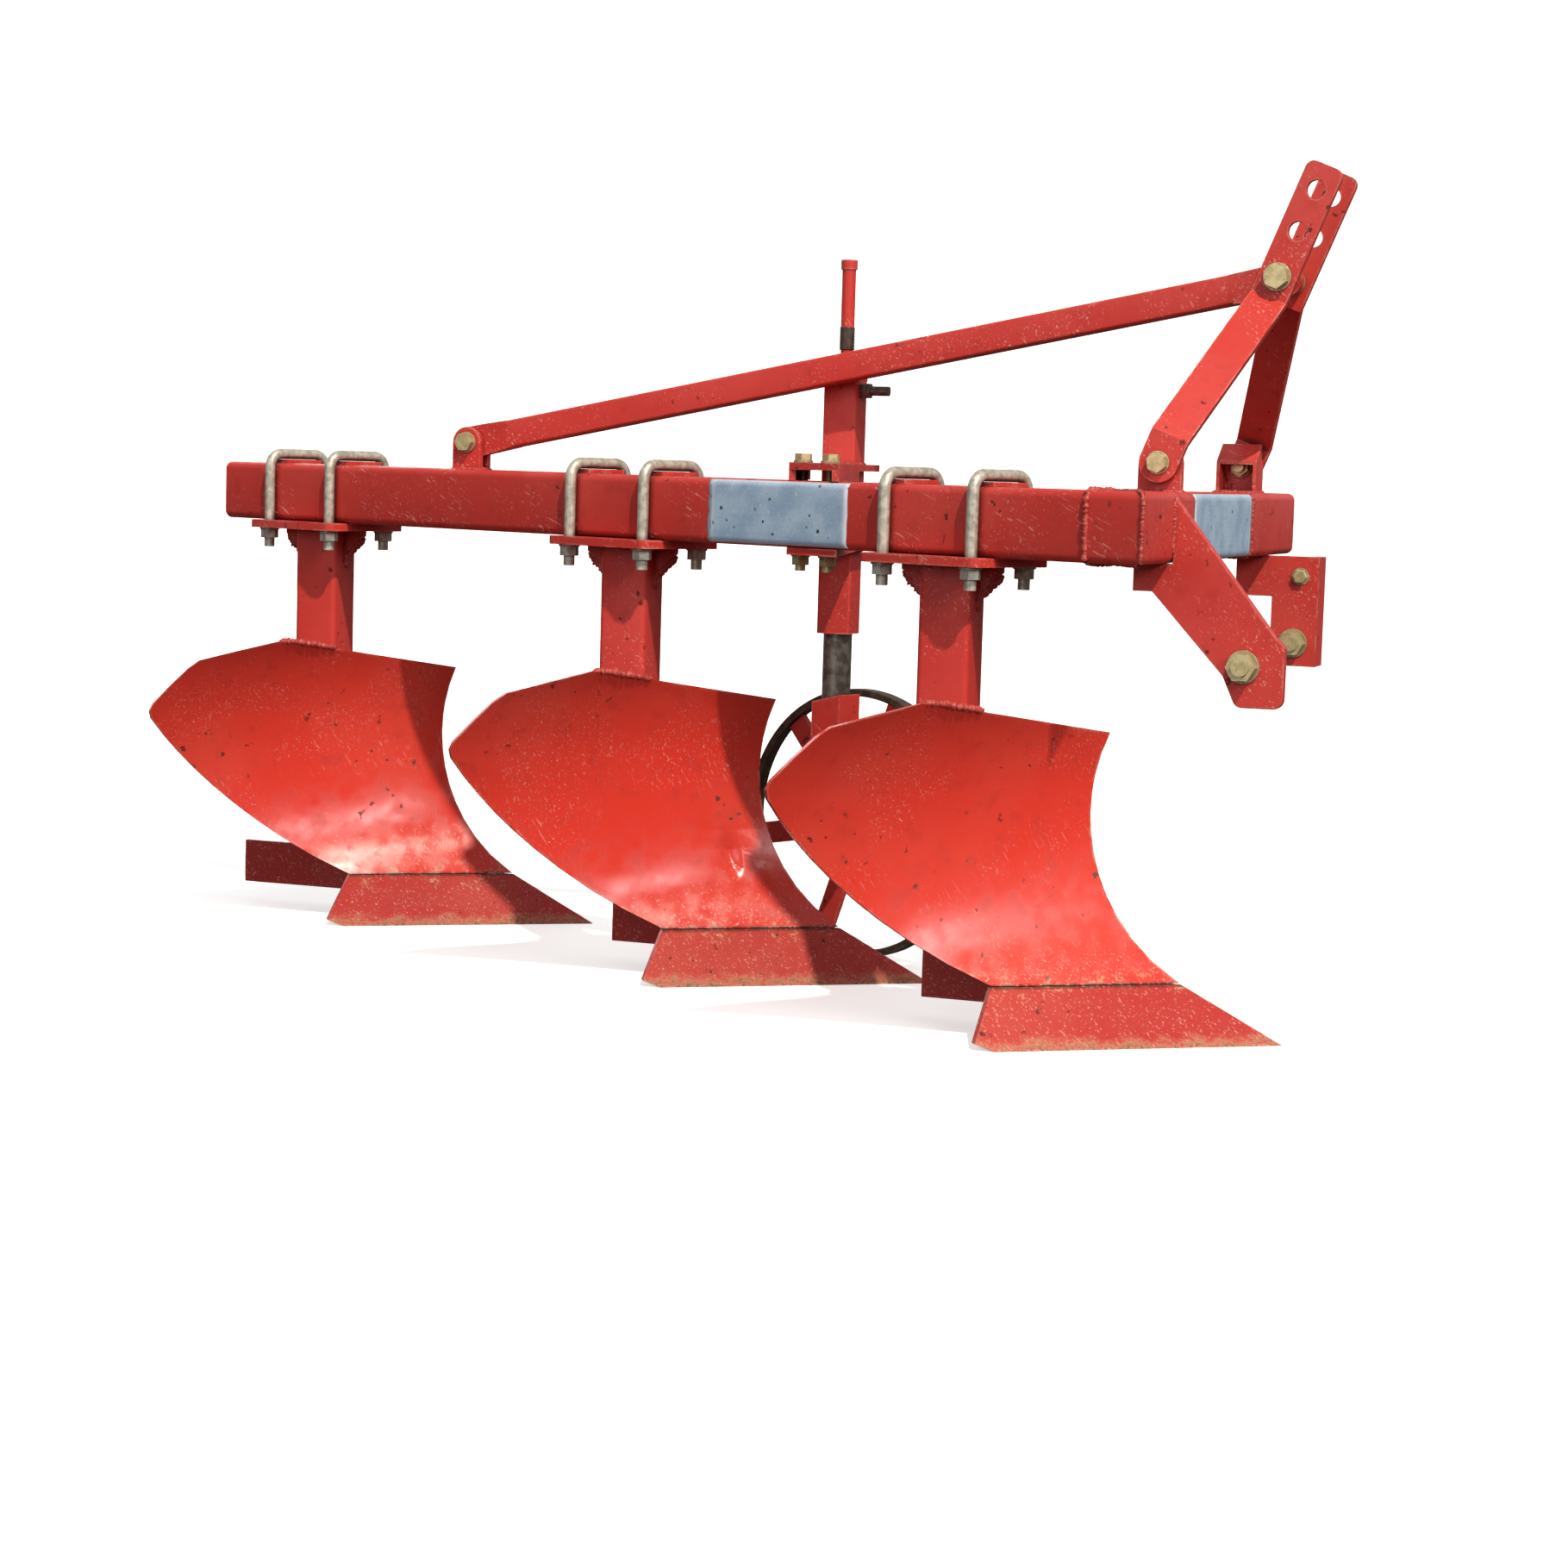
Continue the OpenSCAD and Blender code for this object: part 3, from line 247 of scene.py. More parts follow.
def soil_rub(tree, colour, height, film, grain):
    """Ochre rub along the cutting edge with bare steel lowest; gives the colour and the rub's mask."""
    border = add(tree, "ShaderNodeMath", {0: film, 1: -RAGGED_MM * MM, 2: height}, operation="MULTIPLY_ADD")
    patchy = add(tree, "ShaderNodeMapRange", {0: grain, 1: 0.34, 2: 0.62, 3: 0.2, 4: 1.0},
                 interpolation_type="SMOOTHSTEP")
    low = where(tree, (border, 4 * MM, -13 * MM))
    rub = add(tree, "ShaderNodeMath", {0: low, 1: patchy}, operation="MULTIPLY")
    colour = coat(tree, colour, "#bf9c77", 0.65, rub)
    gone = where(tree, (border, -4 * MM, -14 * MM), (grain, 0.5, 0.6))
    return coat(tree, colour, "#5d4532", 0.75, gone), rub


def seam_line(tree, colour, height, seam, film, grain):
    """Rusty line where board and share meet, with ochre soil rubbed in beside it."""
    above = add(tree, "ShaderNodeMath", {0: height, 1: seam}, operation="SUBTRACT")
    gap = add(tree, "ShaderNodeMath", {0: above}, operation="ABSOLUTE")
    ochre = where(tree, (gap, 24 * MM, 4 * MM), (film, 0.5, 0.6), (grain, 0.5, 0.58))
    colour = coat(tree, colour, "#c9a074", 0.6, ochre)
    rust = where(tree, (gap, 4.5 * MM, 1.5 * MM), (grain, 0.36, 0.5))
    return coat(tree, colour, "#4a2a1a", 0.85, rust)


print("seam height:", round(SEAM_HEIGHT, 4))

# %% [markdown]
# ## The four enamels
# The coats go on in the order in which wear came to the real plough: bleach and film, then painted
# shade in the corners, then scuffs, chips, rubbed edges and soil. Frame, boards, shares and landsides
# share the function. They differ in red, in gloss and in whether soil touches them: a board is
# polished by the turning furrow, so it is the glossiest.

# %% Red enamel
def red_enamel(name, base, faded, scuffs, soil_worn=False, seam=None, gloss=0.42, specular=0.35):
    """Worn red enamel; scuffs is how pale they look, seam the height of a rusty seam in metres."""
    made, tree, shader, place = start_material(name)
    seen = enamel_patterns(tree, place)
    fade, film, grain = seen["fade"], seen["film"], seen["grain"]
    height = add(tree, "ShaderNodeSeparateXYZ", {"Vector": place}, out="Z")

    # Bleach in wide patches, a darker film of weather, and painted shade darkening the corners and
    # undersides.
    colour = coat(tree, linear(base), faded, 1.0, where(tree, (fade, 0.4, 0.68)))
    colour = coat(tree, colour, "#95201c", 0.4, where(tree, (film, 0.5, 0.85)))
    colour = coat(tree, colour, "#3d0c0c", 0.6, painted_shade_mask(tree))

    # Scratches and flecks: pale where the top of the enamel is scuffed by handling, or low by soil.
    scuffed = where(tree, (seen["handling"], 0.42, 0.62))
    if soil_worn:
        low = where(tree, (height, 160 * MM, 70 * MM))
        scuffed = add(tree, "ShaderNodeMath", {0: scuffed, 1: low}, operation="MAXIMUM")
    marks = where(tree, (seen["flecks"], 0.67, 0.72), (film, 0.5, 0.6))
    for turn, length_mm, width_mm in SCRATCHES:
        scratch = scratch_mask(tree, place, turn, length_mm, width_mm)
        marks = add(tree, "ShaderNodeMath", {0: marks, 1: scratch}, operation="MAXIMUM")
    scuff = add(tree, "ShaderNodeMath", {0: marks, 1: scuffed}, operation="MULTIPLY")
    colour = coat(tree, colour, "#e6a398", scuffs, scuff)

    # Chips: ragged spots of 3 to 6 mm down to dark steel, only where the bleached patches allow them.
    chip = where(tree, (seen["chips"], 0.67, 0.7), (fade, 0.45, 0.53))
    colour = coat(tree, colour, "#4a1d19", 0.85, chip)

    # Edges: pale where the enamel is rubbed, rusty where it is gone.
    edge = edge_mask(tree, 5)
    colour = coat(tree, colour, "#e0a094", 0.6, edge, where(tree, (film, 0.4, 0.62)))
    colour = coat(tree, colour, "#5b3427", 0.8, edge, where(tree, (grain, 0.48, 0.66), (fade, 0.42, 0.58)))

    # Worn places are duller than sound enamel.
    rough = add(tree, "ShaderNodeMapRange", {0: film, 1: 0.3, 2: 0.8, 3: gloss - 0.06, 4: gloss + 0.14},
                interpolation_type="SMOOTHSTEP")
    if soil_worn:
        colour, rub = soil_rub(tree, colour, height, film, grain)
        rough = add(tree, "ShaderNodeMath", {0: rub, 1: 0.25, 2: rough}, operation="MULTIPLY_ADD")
    if seam:
        colour = seam_line(tree, colour, height, seam, film, grain)
    rough = add(tree, "ShaderNodeMath", {0: chip, 1: 0.3, 2: rough}, operation="MULTIPLY_ADD")

    # Relief: shallow dents, the orange peel of the sprayed coat, sunken chips and scratches.
    sunken = add(tree, "ShaderNodeMath", {0: chip, 1: scuff}, operation="MAXIMUM")
    relief = ((seen["dents"], 0.32), (grain, 0.12), (sunken, -0.35))
    join_finish(tree, shader, colour, rough, relief, 0.2, 1.0)
    shader.inputs["IOR"].default_value = 1.5
    shader.inputs["Specular IOR Level"].default_value = specular
    return made


# Sprayed on rolled tube: a calm, half-dull red with soft highlights.
FRAME_ENAMEL = red_enamel("red_enamel_on_frame_steel", "#c0352d", "#c7423a", 0.6, specular=0.3)
# Polished by the furrow: an orange red that mirrors the sky in broad, soft bands.
BODY_ENAMEL = red_enamel("red_enamel_on_mouldboard_steel", "#d6392c", "#d84436", 0.55, soil_worn=True,
                         seam=SEAM_HEIGHT, gloss=0.22, specular=0.5)
# Ground by soil: a darker, dull red, freckled pale, with an ochre lower edge.
SHARE_ENAMEL = red_enamel("red_enamel_worn_by_soil", "#ad2c25", "#b53c31", 0.55, soil_worn=True,
                          seam=SEAM_HEIGHT)
# The same dull red on the plates that slide along the furrow's wall, which have no seam.
LANDSIDE_ENAMEL = red_enamel("red_enamel_worn_by_furrow_wall", "#ad2c25", "#b53c31", 0.55, soil_worn=True)
print("enamels:", [m.name for m in (FRAME_ENAMEL, BODY_ENAMEL, SHARE_ENAMEL, LANDSIDE_ENAMEL)])

# %% [markdown]
# ## Plated and bare steel
# The U-bolts are zinc plated, nuts and bolt heads have a yellow chromate over the zinc, the wheel's
# shaft is bare turned steel, and the rim is plain rolled steel. A smooth metal would look new, so all
# four get a two-tone mottle and freckles of rust. They also get painted shade in the corners, and
# brighter edges that are partly rubbed metal and partly a painted highlight outlining the shapes. Their
# oxide and oil hide part of the metal, so Metallic is about a half. They keep the default IOR.

# %% Metals
FRECKLE_MM = 2.2


def plated_steel(name, main, second, rust, metallic, roughness, mottle_mm, rusty):
    """Metal with a two-tone mottle of a real size; rusty widens its freckles of rust."""
    made, tree, shader, place = start_material(name)
    mottle = add(tree, "ShaderNodeTexNoise", {"Vector": place, "Scale": per_mm(mottle_mm), "Detail": 5.0})
    fine = add(tree, "ShaderNodeTexNoise", {"Vector": place, "Scale": per_mm(FRECKLE_MM), "Detail": 4.0})
    colour = coat(tree, linear(main), second, 1.0, where(tree, (mottle, 0.36, 0.64)))
    freckles = where(tree, (mottle, 0.48, 0.62), (fine, 0.62 - rusty, 0.72 - rusty))
    colour = coat(tree, colour, rust, 0.8, freckles)
    # Painted shade in corners and under overhangs, then pale edges: rubbed metal and a painted highlight.
    colour = coat(tree, colour, "#241a13", 0.85, painted_shade_mask(tree))
    colour = coat(tree, colour, "#d3c9b2", 0.5, edge_mask(tree, 2))
    rough = add(tree, "ShaderNodeMapRange",
                {0: fine, 1: 0.3, 2: 0.75, 3: roughness - 0.1, 4: roughness + 0.14},
                interpolation_type="SMOOTHSTEP")
    join_finish(tree, shader, colour, rough, ((fine, 1.0),), 0.3, 0.5)
    shader.inputs["Metallic"].default_value = metallic
    return made


# Zinc plating: pale warm grey with a faint crystal mottle.
ZINC = plated_steel("zinc_plated_steel", "#cdc8b9", "#aaa494", "#6a4a33", 0.45, 0.45, 9, 0.02)
# Chromate dip over zinc: patchy olive and gold.
CHROMATE = plated_steel("yellow_chromate_on_zinc", "#cbbd8e", "#b0a272", "#6a4d30", 0.45, 0.4, 8, 0.0)
# Turned and oiled: a dark grey that mirrors most of the four.
OILED = plated_steel("oiled_turned_steel", "#7c7870", "#55514a", "#5a4636", 0.6, 0.38, 14, 0.0)
# Rolled and left bare: brown with rust, brighter where it rubs.
RUSTY = plated_steel("rusty_rolled_steel", "#40362d", "#5a4c3e", "#70492e", 0.45, 0.5, 12, 0.08)
print("metals:", [m.name for m in (ZINC, CHROMATE, OILED, RUSTY)])

# %% [markdown]
# ## Overpainted patches
# Two places on the frame are brushed over with a blue-grey primer. It could be one more coat in the
# enamel, but brushed paint has an edge and streaks of its own, so it is a material for thin skins
# that are laid on the tubes further down.

# %% Brushed primer
STREAK_LONG_MM, STREAK_WIDE_MM = 60, 4


def brushed_primer(name):
    """Blue-grey primer with brush streaks, pits and chips that show the red below."""
    made, tree, shader, place = start_material(name)
    brush = (per_mm(STREAK_LONG_MM), per_mm(STREAK_LONG_MM), per_mm(STREAK_WIDE_MM))
    aimed = add(tree, "ShaderNodeMapping", {"Vector": place, "Scale": brush})
    streak = add(tree, "ShaderNodeTexNoise", {"Vector": aimed, "Scale": 1.0, "Detail": 4.0})
    cloud = add(tree, "ShaderNodeTexNoise", {"Vector": place, "Scale": per_mm(40), "Detail": 5.0})
    fine = add(tree, "ShaderNodeTexNoise", {"Vector": place, "Scale": per_mm(4), "Detail": 3.0})
    cells = add(tree, "ShaderNodeTexVoronoi", {"Vector": place, "Scale": per_mm(20)}, out="Distance")
    ragged = add(tree, "ShaderNodeMath", {0: fine, 1: 0.22, 2: cells}, operation="MULTIPLY_ADD")
    pit = where(tree, (ragged, 0.27, 0.22), (cloud, 0.44, 0.54))
    colour = coat(tree, linear("#8fa9c3"), "#a9bfd3", 1.0, where(tree, (cloud, 0.35, 0.65)))
    colour = coat(tree, colour, "#7389a0", 0.35, where(tree, (streak, 0.5, 0.8)))
    colour = coat(tree, colour, "#3d4347", 1.0, pit)
    colour = coat(tree, colour, "#a4453d", 1.0, where(tree, (fine, 0.66, 0.74), (cloud, 0.56, 0.62)))
    colour = coat(tree, colour, "#d9e0e6", 0.7, scratch_mask(tree, place, (0.2, 0.3, 0.4), 40, 2.4))
    colour = coat(tree, colour, "#d5dbe0", 0.55, edge_mask(tree, 8))
    rough = add(tree, "ShaderNodeMapRange", {0: streak, 1: 0.3, 2: 0.8, 3: 0.42, 4: 0.62},
                interpolation_type="SMOOTHSTEP")
    join_finish(tree, shader, colour, rough, ((streak, 0.4), (pit, -0.8)), 0.35, 0.8)
    return made


# Brushed by hand: matt and cloudy, streaked along the brush, and pitted.
PRIMER = brushed_primer("brushed_blue_grey_primer")
print("primer:", PRIMER.name)

# %% [markdown]
# ## Painted weld beads
# A weld bead is a row of frozen ripples, painted over with the rest. The thick paint cracks in the
# valleys, so they rust first. The frame's enamel is too calm for that, so beads have their own.

# %% Weld enamel
def weld_enamel(name):
    """Red enamel over weld ripples, rusty in the pits."""
    made, tree, shader, place = start_material(name)
    lumps = add(tree, "ShaderNodeTexNoise", {"Vector": place, "Scale": per_mm(7), "Detail": 4.0})
    fine = add(tree, "ShaderNodeTexNoise", {"Vector": place, "Scale": per_mm(2.5), "Detail": 3.0})
    colour = coat(tree, linear("#a32c27"), "#c4544a", 1.0, where(tree, (lumps, 0.35, 0.7)))
    colour = coat(tree, colour, "#431814", 0.8, where(tree, (fine, 0.56, 0.68)))
    rough = add(tree, "ShaderNodeMapRange", {0: fine, 1: 0.3, 2: 0.7, 3: 0.4, 4: 0.7},
                interpolation_type="SMOOTHSTEP")
    join_finish(tree, shader, colour, rough, ((fine, 1.0),), 0.5, 1.0)
    return made


# Brushed thickly over spatter: a broken, lumpy red with dark pits.
WELD = weld_enamel("red_enamel_on_weld")
print("weld:", WELD.name)

# %% [markdown]
# ## Softened edges on the CAD parts
# Nothing cut from plate has a knife edge, and light catches on its small rounding. The rounding could
# be cut into the CAD parts, but it would multiply their faces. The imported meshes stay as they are, and
# modifiers do the work: a node group merges split corners and marks edges sharper than an angle,
# Decimate joins flat triangles, and Bevel rounds what is left.

# %% Shading group
SHARP_ANGLE = math.radians(32)
MERGE_MM = 0.01


def shape_group(name):
    """New geometry node group; gives it and the mesh that enters it."""
    group = bpy.data.node_groups.new(name, "GeometryNodeTree")
    for way in ("INPUT", "OUTPUT"):
        group.interface.new_socket("Geometry", in_out=way, socket_type="NodeSocketGeometry")
    return group, add(group, "NodeGroupInput")


def soft_shading():
    """Node group that merges split corners and keeps edges sharper than the angle."""
    group, mesh = shape_group("soft_shading")
    merged = add(group, "GeometryNodeMergeByDistance", {0: mesh, "Distance": MERGE_MM * MM})
    bend = add(group, "GeometryNodeInputMeshEdgeAngle")
    sharp = add(group, "ShaderNodeMath", {0: bend, 1: SHARP_ANGLE}, operation="GREATER_THAN")
    shaded = add(group, "GeometryNodeSetMeshNormal",
                 {0: merged, "Remove Custom": True, "Edge Sharpness": sharp, "Face Sharpness": False},
                 mode="SHARPNESS")
    add(group, "NodeGroupOutput", {0: shaded})
    return group


SOFT = soft_shading()
print("shading group nodes:", len(SOFT.nodes))

# %% [markdown]
# ## A dent in the middle board
# A stone has pressed a crease into the middle mouldboard, low down by the shin. Bump alone would not
# bend the highlight as a real dent does. A node group cuts the plate's faces finer and pushes them
# back, most in the middle of an oval and not at all at its rim. Front and back of the plate move
# together, so the plate keeps its thickness.

# %% Dent
DENT_AT = leg_foot("middle") + Vector((157, 12, 172)) * MM
DENT_ALONG = Vector((0.309, -0.080, -0.948)).normalized()
DENT_PUSH = Vector((-0.611, 0.727, -0.313)) * 7 * MM
DENT_HALF_LENGTH, DENT_HALF_WIDTH = 46 * MM, 19 * MM
FINER_CUTS = 4


def pressed_dent():
    """Node group that presses the oval dent into a plate."""
    group, mesh = shape_group("pressed_dent")
    fine = add(group, "GeometryNodeSubdivideMesh", {0: mesh, "Level": FINER_CUTS})
    at = add(group, "GeometryNodeInputPosition")
    away = add(group, "ShaderNodeVectorMath", {0: at, 1: DENT_AT}, operation="SUBTRACT")
    run = add(group, "ShaderNodeVectorMath", {0: away, 1: DENT_ALONG}, out="Value", operation="DOT_PRODUCT")
    shift = add(group, "ShaderNodeVectorMath", {0: DENT_ALONG, "Scale": run}, operation="SCALE")
    rest = add(group, "ShaderNodeVectorMath", {0: away, 1: shift}, operation="SUBTRACT")
    side = add(group, "ShaderNodeVectorMath", {0: rest}, out="Value", operation="LENGTH")
    pair = add(group, "ShaderNodeCombineXYZ", {0: run, 1: side})
    halves = (DENT_HALF_LENGTH, DENT_HALF_WIDTH, 1.0)
    oval = add(group, "ShaderNodeVectorMath", {0: pair, 1: halves}, operation="DIVIDE")
    reach = add(group, "ShaderNodeVectorMath", {0: oval}, out="Value", operation="LENGTH")
    depth = where(group, (reach, 1.0, 0.0))
    offset = add(group, "ShaderNodeVectorMath", {0: DENT_PUSH, "Scale": depth}, operation="SCALE")
    pressed = add(group, "GeometryNodeSetPosition", {"Geometry": fine, "Offset": offset})
    add(group, "NodeGroupOutput", {0: pressed})
    return group


DENT = pressed_dent()
print("dent at:", tuple(round(v, 3) for v in DENT_AT))

# %% [markdown]
# ## A finish for every CAD piece
# The record names a slot for each piece, such as red paint or zinc, so a table from slot to finish
# dresses the whole plough. Boards and shares look different from other soil-worn pieces, and have
# their own rows. Thick plate has a wider rounding than a turned bolt.

# %% Rounding and finish on every CAD node
FLAT_ANGLE = math.radians(0.4)
ROUNDED_ANGLE = math.radians(40)


def soften(piece, width_mm):
    """Smooth shading and a small rounding on a piece's sharp edges; the middle board gets its dent."""
    piece.modifiers.new("shading", "NODES").node_group = SOFT
    if piece == nodes["mouldboard_middle"]:
        piece.modifiers.new("dent", "NODES").node_group = DENT
    flat = piece.modifiers.new("flat_faces", "DECIMATE")
    flat.decimate_type = "DISSOLVE"
    flat.angle_limit = FLAT_ANGLE
    rounding = piece.modifiers.new("rounding", "BEVEL")
    rounding.width = width_mm * MM
    rounding.segments = 2
    rounding.limit_method = "ANGLE"
    rounding.angle_limit = ROUNDED_ANGLE
    rounding.harden_normals = True


# Record slot: finish, and rounding in millimetres.
FINISH = {
    "red_paint": (FRAME_ENAMEL, 1.2), "worn_red_paint": (LANDSIDE_ENAMEL, 1.0), "zinc": (ZINC, 0.6),
    "yellow_zinc": (CHROMATE, 0.7), "bare_steel": (OILED, 0.6), "rusty_rim": (RUSTY, 1.5),
}
SOIL_FINISH = {f"mouldboard_{body}": BODY_ENAMEL for body in BODIES}
SOIL_FINISH.update({f"share_{body}": SHARE_ENAMEL for body in BODIES})
slots = {row["node"]: row["material_slot"] for row in frame["record"]["subparts"]}
for name, piece in nodes.items():
    finish, width_mm = FINISH[slots[name]]
    piece.data.materials.clear()
    piece.data.materials.append(SOIL_FINISH.get(name, finish))
    soften(piece, width_mm)
print("finished CAD nodes:", len(nodes))

# %% [markdown]
# ## Weld beads
# A bead could be a curve with a round bevel, but that looks turned on a lathe. Here each bead is a
# tube of rings along a path. Its thickness swells and shrinks every few millimetres like a real run
# of ripples, and a seeded random jitter makes it uneven. The rings' own directions can flip along a
# path; the beads are short, so a flip shows only as one more ripple.

# %% Mesh helpers
def new_mesh(name, verts, faces, material, smooth=True):
    """New mesh object in the scene."""
    mesh = bpy.data.meshes.new(name)
    mesh.from_pydata([tuple(v) for v in verts], [], faces)
    mesh.polygons.foreach_set("use_smooth", [smooth] * len(mesh.polygons))
    mesh.update()
    mesh.materials.append(material)
    piece = bpy.data.objects.new(name, mesh)
    bpy.context.scene.collection.objects.link(piece)
    return piece


def fitted_piece(name, verts, faces, material, smooth=True):
    """New mesh object that rides on the frame and takes the given finish."""
    piece = new_mesh(name, verts, faces, material, smooth)
    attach(piece, "frame")
    print(name, "faces:", len(faces))
    return piece


def tube_faces(rings, sides, first=0, capped=True):
    """Quads between rings of points that follow one another, and a cap at each end."""
    faces = []
    for row in range(rings - 1):
        start = first + row * sides
        for k in range(sides):
            a, b = start + k, start + (k + 1) % sides
            faces.append((a, b, b + sides, a + sides))
    if capped:
        last = first + (rings - 1) * sides
        faces.append(tuple(first + k for k in reversed(range(sides))))
        faces.append(tuple(last + k for k in range(sides)))
    return faces


def resample(points, step):
    """Points at an even spacing along a polyline."""
    even = [points[0].copy()]
    carry = 0.0
    for a, b in zip(points, points[1:]):
        span = (b - a).length
        at = step - carry
        while at < span:
            even.append(a.lerp(b, at / span))
            at += step
        carry = (carry + span) % step
    even.append(points[-1].copy())
    return even


print("faces of a tube of 3 rings with 8 sides:", len(tube_faces(3, 8)))

# %% Bead maker
BEAD_SIDES = 8
RING_GAP = 0.45       # in bead radii
RIPPLE, RIPPLE_STEP = 0.22, 0.75
WOBBLE = 0.25         # in bead radii, to either side


def weld_bead(name, runs, radius_mm, seed):
    """Rippled weld beads along one or more paths, joined in one piece."""
    draw = random.Random(seed)
    verts, faces = [], []
    radius = radius_mm * MM
    for run in runs:
        path = resample(run, radius * RING_GAP)
        first, last = len(verts), len(path) - 1
        for k, point in enumerate(path):
            ahead = (path[min(k + 1, last)] - path[max(k - 1, 0)]).normalized()
            side = ahead.orthogonal().normalized()
            other = ahead.cross(side)
            taper = min(1.0, 0.35 + 0.22 * min(k, last - k))
            ripple = 0.84 + RIPPLE * abs(math.sin(k * RIPPLE_STEP)) + draw.uniform(-RIPPLE, RIPPLE)
            middle = point + side * radius * draw.uniform(-WOBBLE, WOBBLE)
            for j in range(BEAD_SIDES):
                turn = 2 * math.pi * j / BEAD_SIDES
                out = side * math.cos(turn) + other * math.sin(turn)
                verts.append(middle + out * radius * taper * ripple)
        faces += tube_faces(len(path), BEAD_SIDES, first)
    fitted_piece(name, verts, faces, WELD)


print("bead ring:", BEAD_SIDES, "sides")

# %% [markdown]
# ## Beads round the tubes
# Beam and cross tube are pieced together: a bead runs over the top, down the near face and under
# each joint, and the bend has one along its mitre. A square tube has rounded corners, so the path
# follows them as arcs; a path with sharp corners would float off the steel there.

# %% Seams of beam, cross tube and bend
ARC_STEPS = 5
WRAP_REACH, BEND_REACH = 60.0, 150.0
BEAM_SEAM, CROSS_SEAM = 87.0, 655.0
MITRE = math.radians(90 + (90 - math.degrees(BEAM_ANGLE)) / 2)


def tube_corner(degrees, proud=0.0, low=False):
    """(Inward, height) on a tube's corner: degrees from the top face, or from the near face if low."""
    turn = math.radians(degrees)
    reach = TUBE_R + proud
    if low:
        return TUBE_R - reach * math.cos(turn), TUBE_LOW + TUBE_R - reach * math.sin(turn)
    return TUBE_R - reach * math.sin(turn), TUBE_TOP - TUBE_R + reach * math.cos(turn)


def tube_wrap(place, reach=WRAP_REACH):
    """Path over a tube's top, down its near face and under it; place takes (inward, height)."""
    turns = [90 * k / ARC_STEPS for k in range(ARC_STEPS + 1)]
    outline = [(reach, TUBE_TOP), (TUBE_R, TUBE_TOP)]
    outline += [tube_corner(turn) for turn in turns] + [tube_corner(turn, low=True) for turn in turns]
    outline.append((reach, TUBE_LOW))
    return [place(inward, height) for inward, height in outline]


def mitre_point(inward, height):
    """Point on the mitre of the bend, in from the outer corner."""
    return BEND + Vector((math.cos(MITRE) * inward, math.sin(MITRE) * inward, height)) * MM


weld_bead("weld_beam_seam", [tube_wrap(lambda n, z: beam_point(BEAM_SEAM, n, z))], 4.2, 11)
weld_bead("weld_cross_seam", [tube_wrap(lambda n, z: cross_point(CROSS_SEAM, n, z))], 3.2, 12)
weld_bead("weld_bend", [tube_wrap(mitre_point, BEND_REACH)], 2.8, 13)

# %% [markdown]
# ## Beads on legs, lugs, sleeve and hitch
# Everything else that is welded on is a plate or a square tube, so its bead follows the piece's box:
# round a leg's head, round the lugs, round the sleeve, along the hitch plates. A leg's gussets have a
# heavier bead down their slanted edge. Reading the boxes keeps the beads in place if a size changes.

# %% Beads on the frame's fittings
GUSSET_TIP, GUSSET_HEEL, GUSSET_END = 12 * MM, 44 * MM, 60 * MM
WEB_T = 12 * MM
FACE_X, CORNER_X = BEND.x, BEND.x - TUBE_R * MM
UNDER, TOP = TUBE_LOW * MM, TUBE_TOP * MM


def box_loop(low, high, height):
    """Closed path round a rectangle at one height."""
    corners = [(low.x, low.y), (high.x, low.y), (high.x, high.y), (low.x, high.y), (low.x, low.y)]
    return [Vector((x, y, height)) for x, y in corners]


for body in BODIES:
    low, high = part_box(f"leg_{body}")
    middle = (low + high) / 2
    half = (high.y - low.y) / 2
    corner = Vector((half, half, 0))
    weld_bead(f"weld_leg_{body}", [box_loop(middle - corner, middle + corner, high.z)], 3.2, 20)
    slants = [[Vector((middle.x + side * (high.x - middle.x), middle.y, high.z - GUSSET_TIP)),
               Vector((middle.x + side * half, middle.y, high.z - GUSSET_HEEL)),
               Vector((middle.x + side * half, middle.y, high.z - GUSSET_END))] for side in (-1, 1)]
    weld_bead(f"weld_gusset_{body}", slants, 5.5, 24)

lugs = [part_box(name) for name in ("mast_lug_right", "mast_lug_left", "stay_lug")]
weld_bead("weld_lugs", [box_loop(low, high, TOP) for low, high in lugs], 2.8, 31)

sleeve_low, sleeve_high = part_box("wheel_sleeve")
arm_faces = (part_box("wheel_arm_top")[1].z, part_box("wheel_arm_bottom")[0].z)
weld_bead("weld_sleeve", [box_loop(sleeve_low, sleeve_high, height) for height in arm_faces], 2.6, 33)

link_low, link_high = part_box("lower_link_plate_right")
sides = (link_low.y, link_high.y)
tongue = [[Vector((FACE_X, y, UNDER + TUBE_R * MM)), Vector((FACE_X, y, TOP - TUBE_R * MM))] for y in sides]
tongue += [[Vector((link_low.x, y, UNDER)), Vector((CORNER_X, y, UNDER))] for y in sides]
weld_bead("weld_link_plate", tongue, 2.8, 35)

bracket_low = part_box("lower_link_bracket_left")[0]
web = [[Vector((bracket_low.x, y, UNDER)), Vector((CORNER_X, y, UNDER))]
       for y in (bracket_low.y, bracket_low.y + WEB_T)]
weld_bead("weld_link_bracket", web, 2.8, 36)

# %% [markdown]
# ## Beads on the boards
# Each mouldboard hangs from its leg by a bead along the top edge. A board is twisted, so its box says
# nothing about that edge. The path is a few points on the edge, measured from the leg's foot.

# %% Board beads
BOARD_EDGE = [Vector(point) for point in
              ((22, -187, 435), (33, -178, 436), (45, -163, 434), (80, -110, 425))]
for body in BODIES:
    weld_bead(f"weld_board_{body}", [[leg_foot(body) + point * MM for point in BOARD_EDGE]], 4.6, 51)

# %% [markdown]
# ## The spindle's thread
# Above the back stay the depth spindle shows a short stretch of bare thread, brown with rust. A true
# helix would cost many faces, and at this size a thread reads as a row of sharp rings, so the piece
# is one profile of crests and roots turned round the spindle's axis.

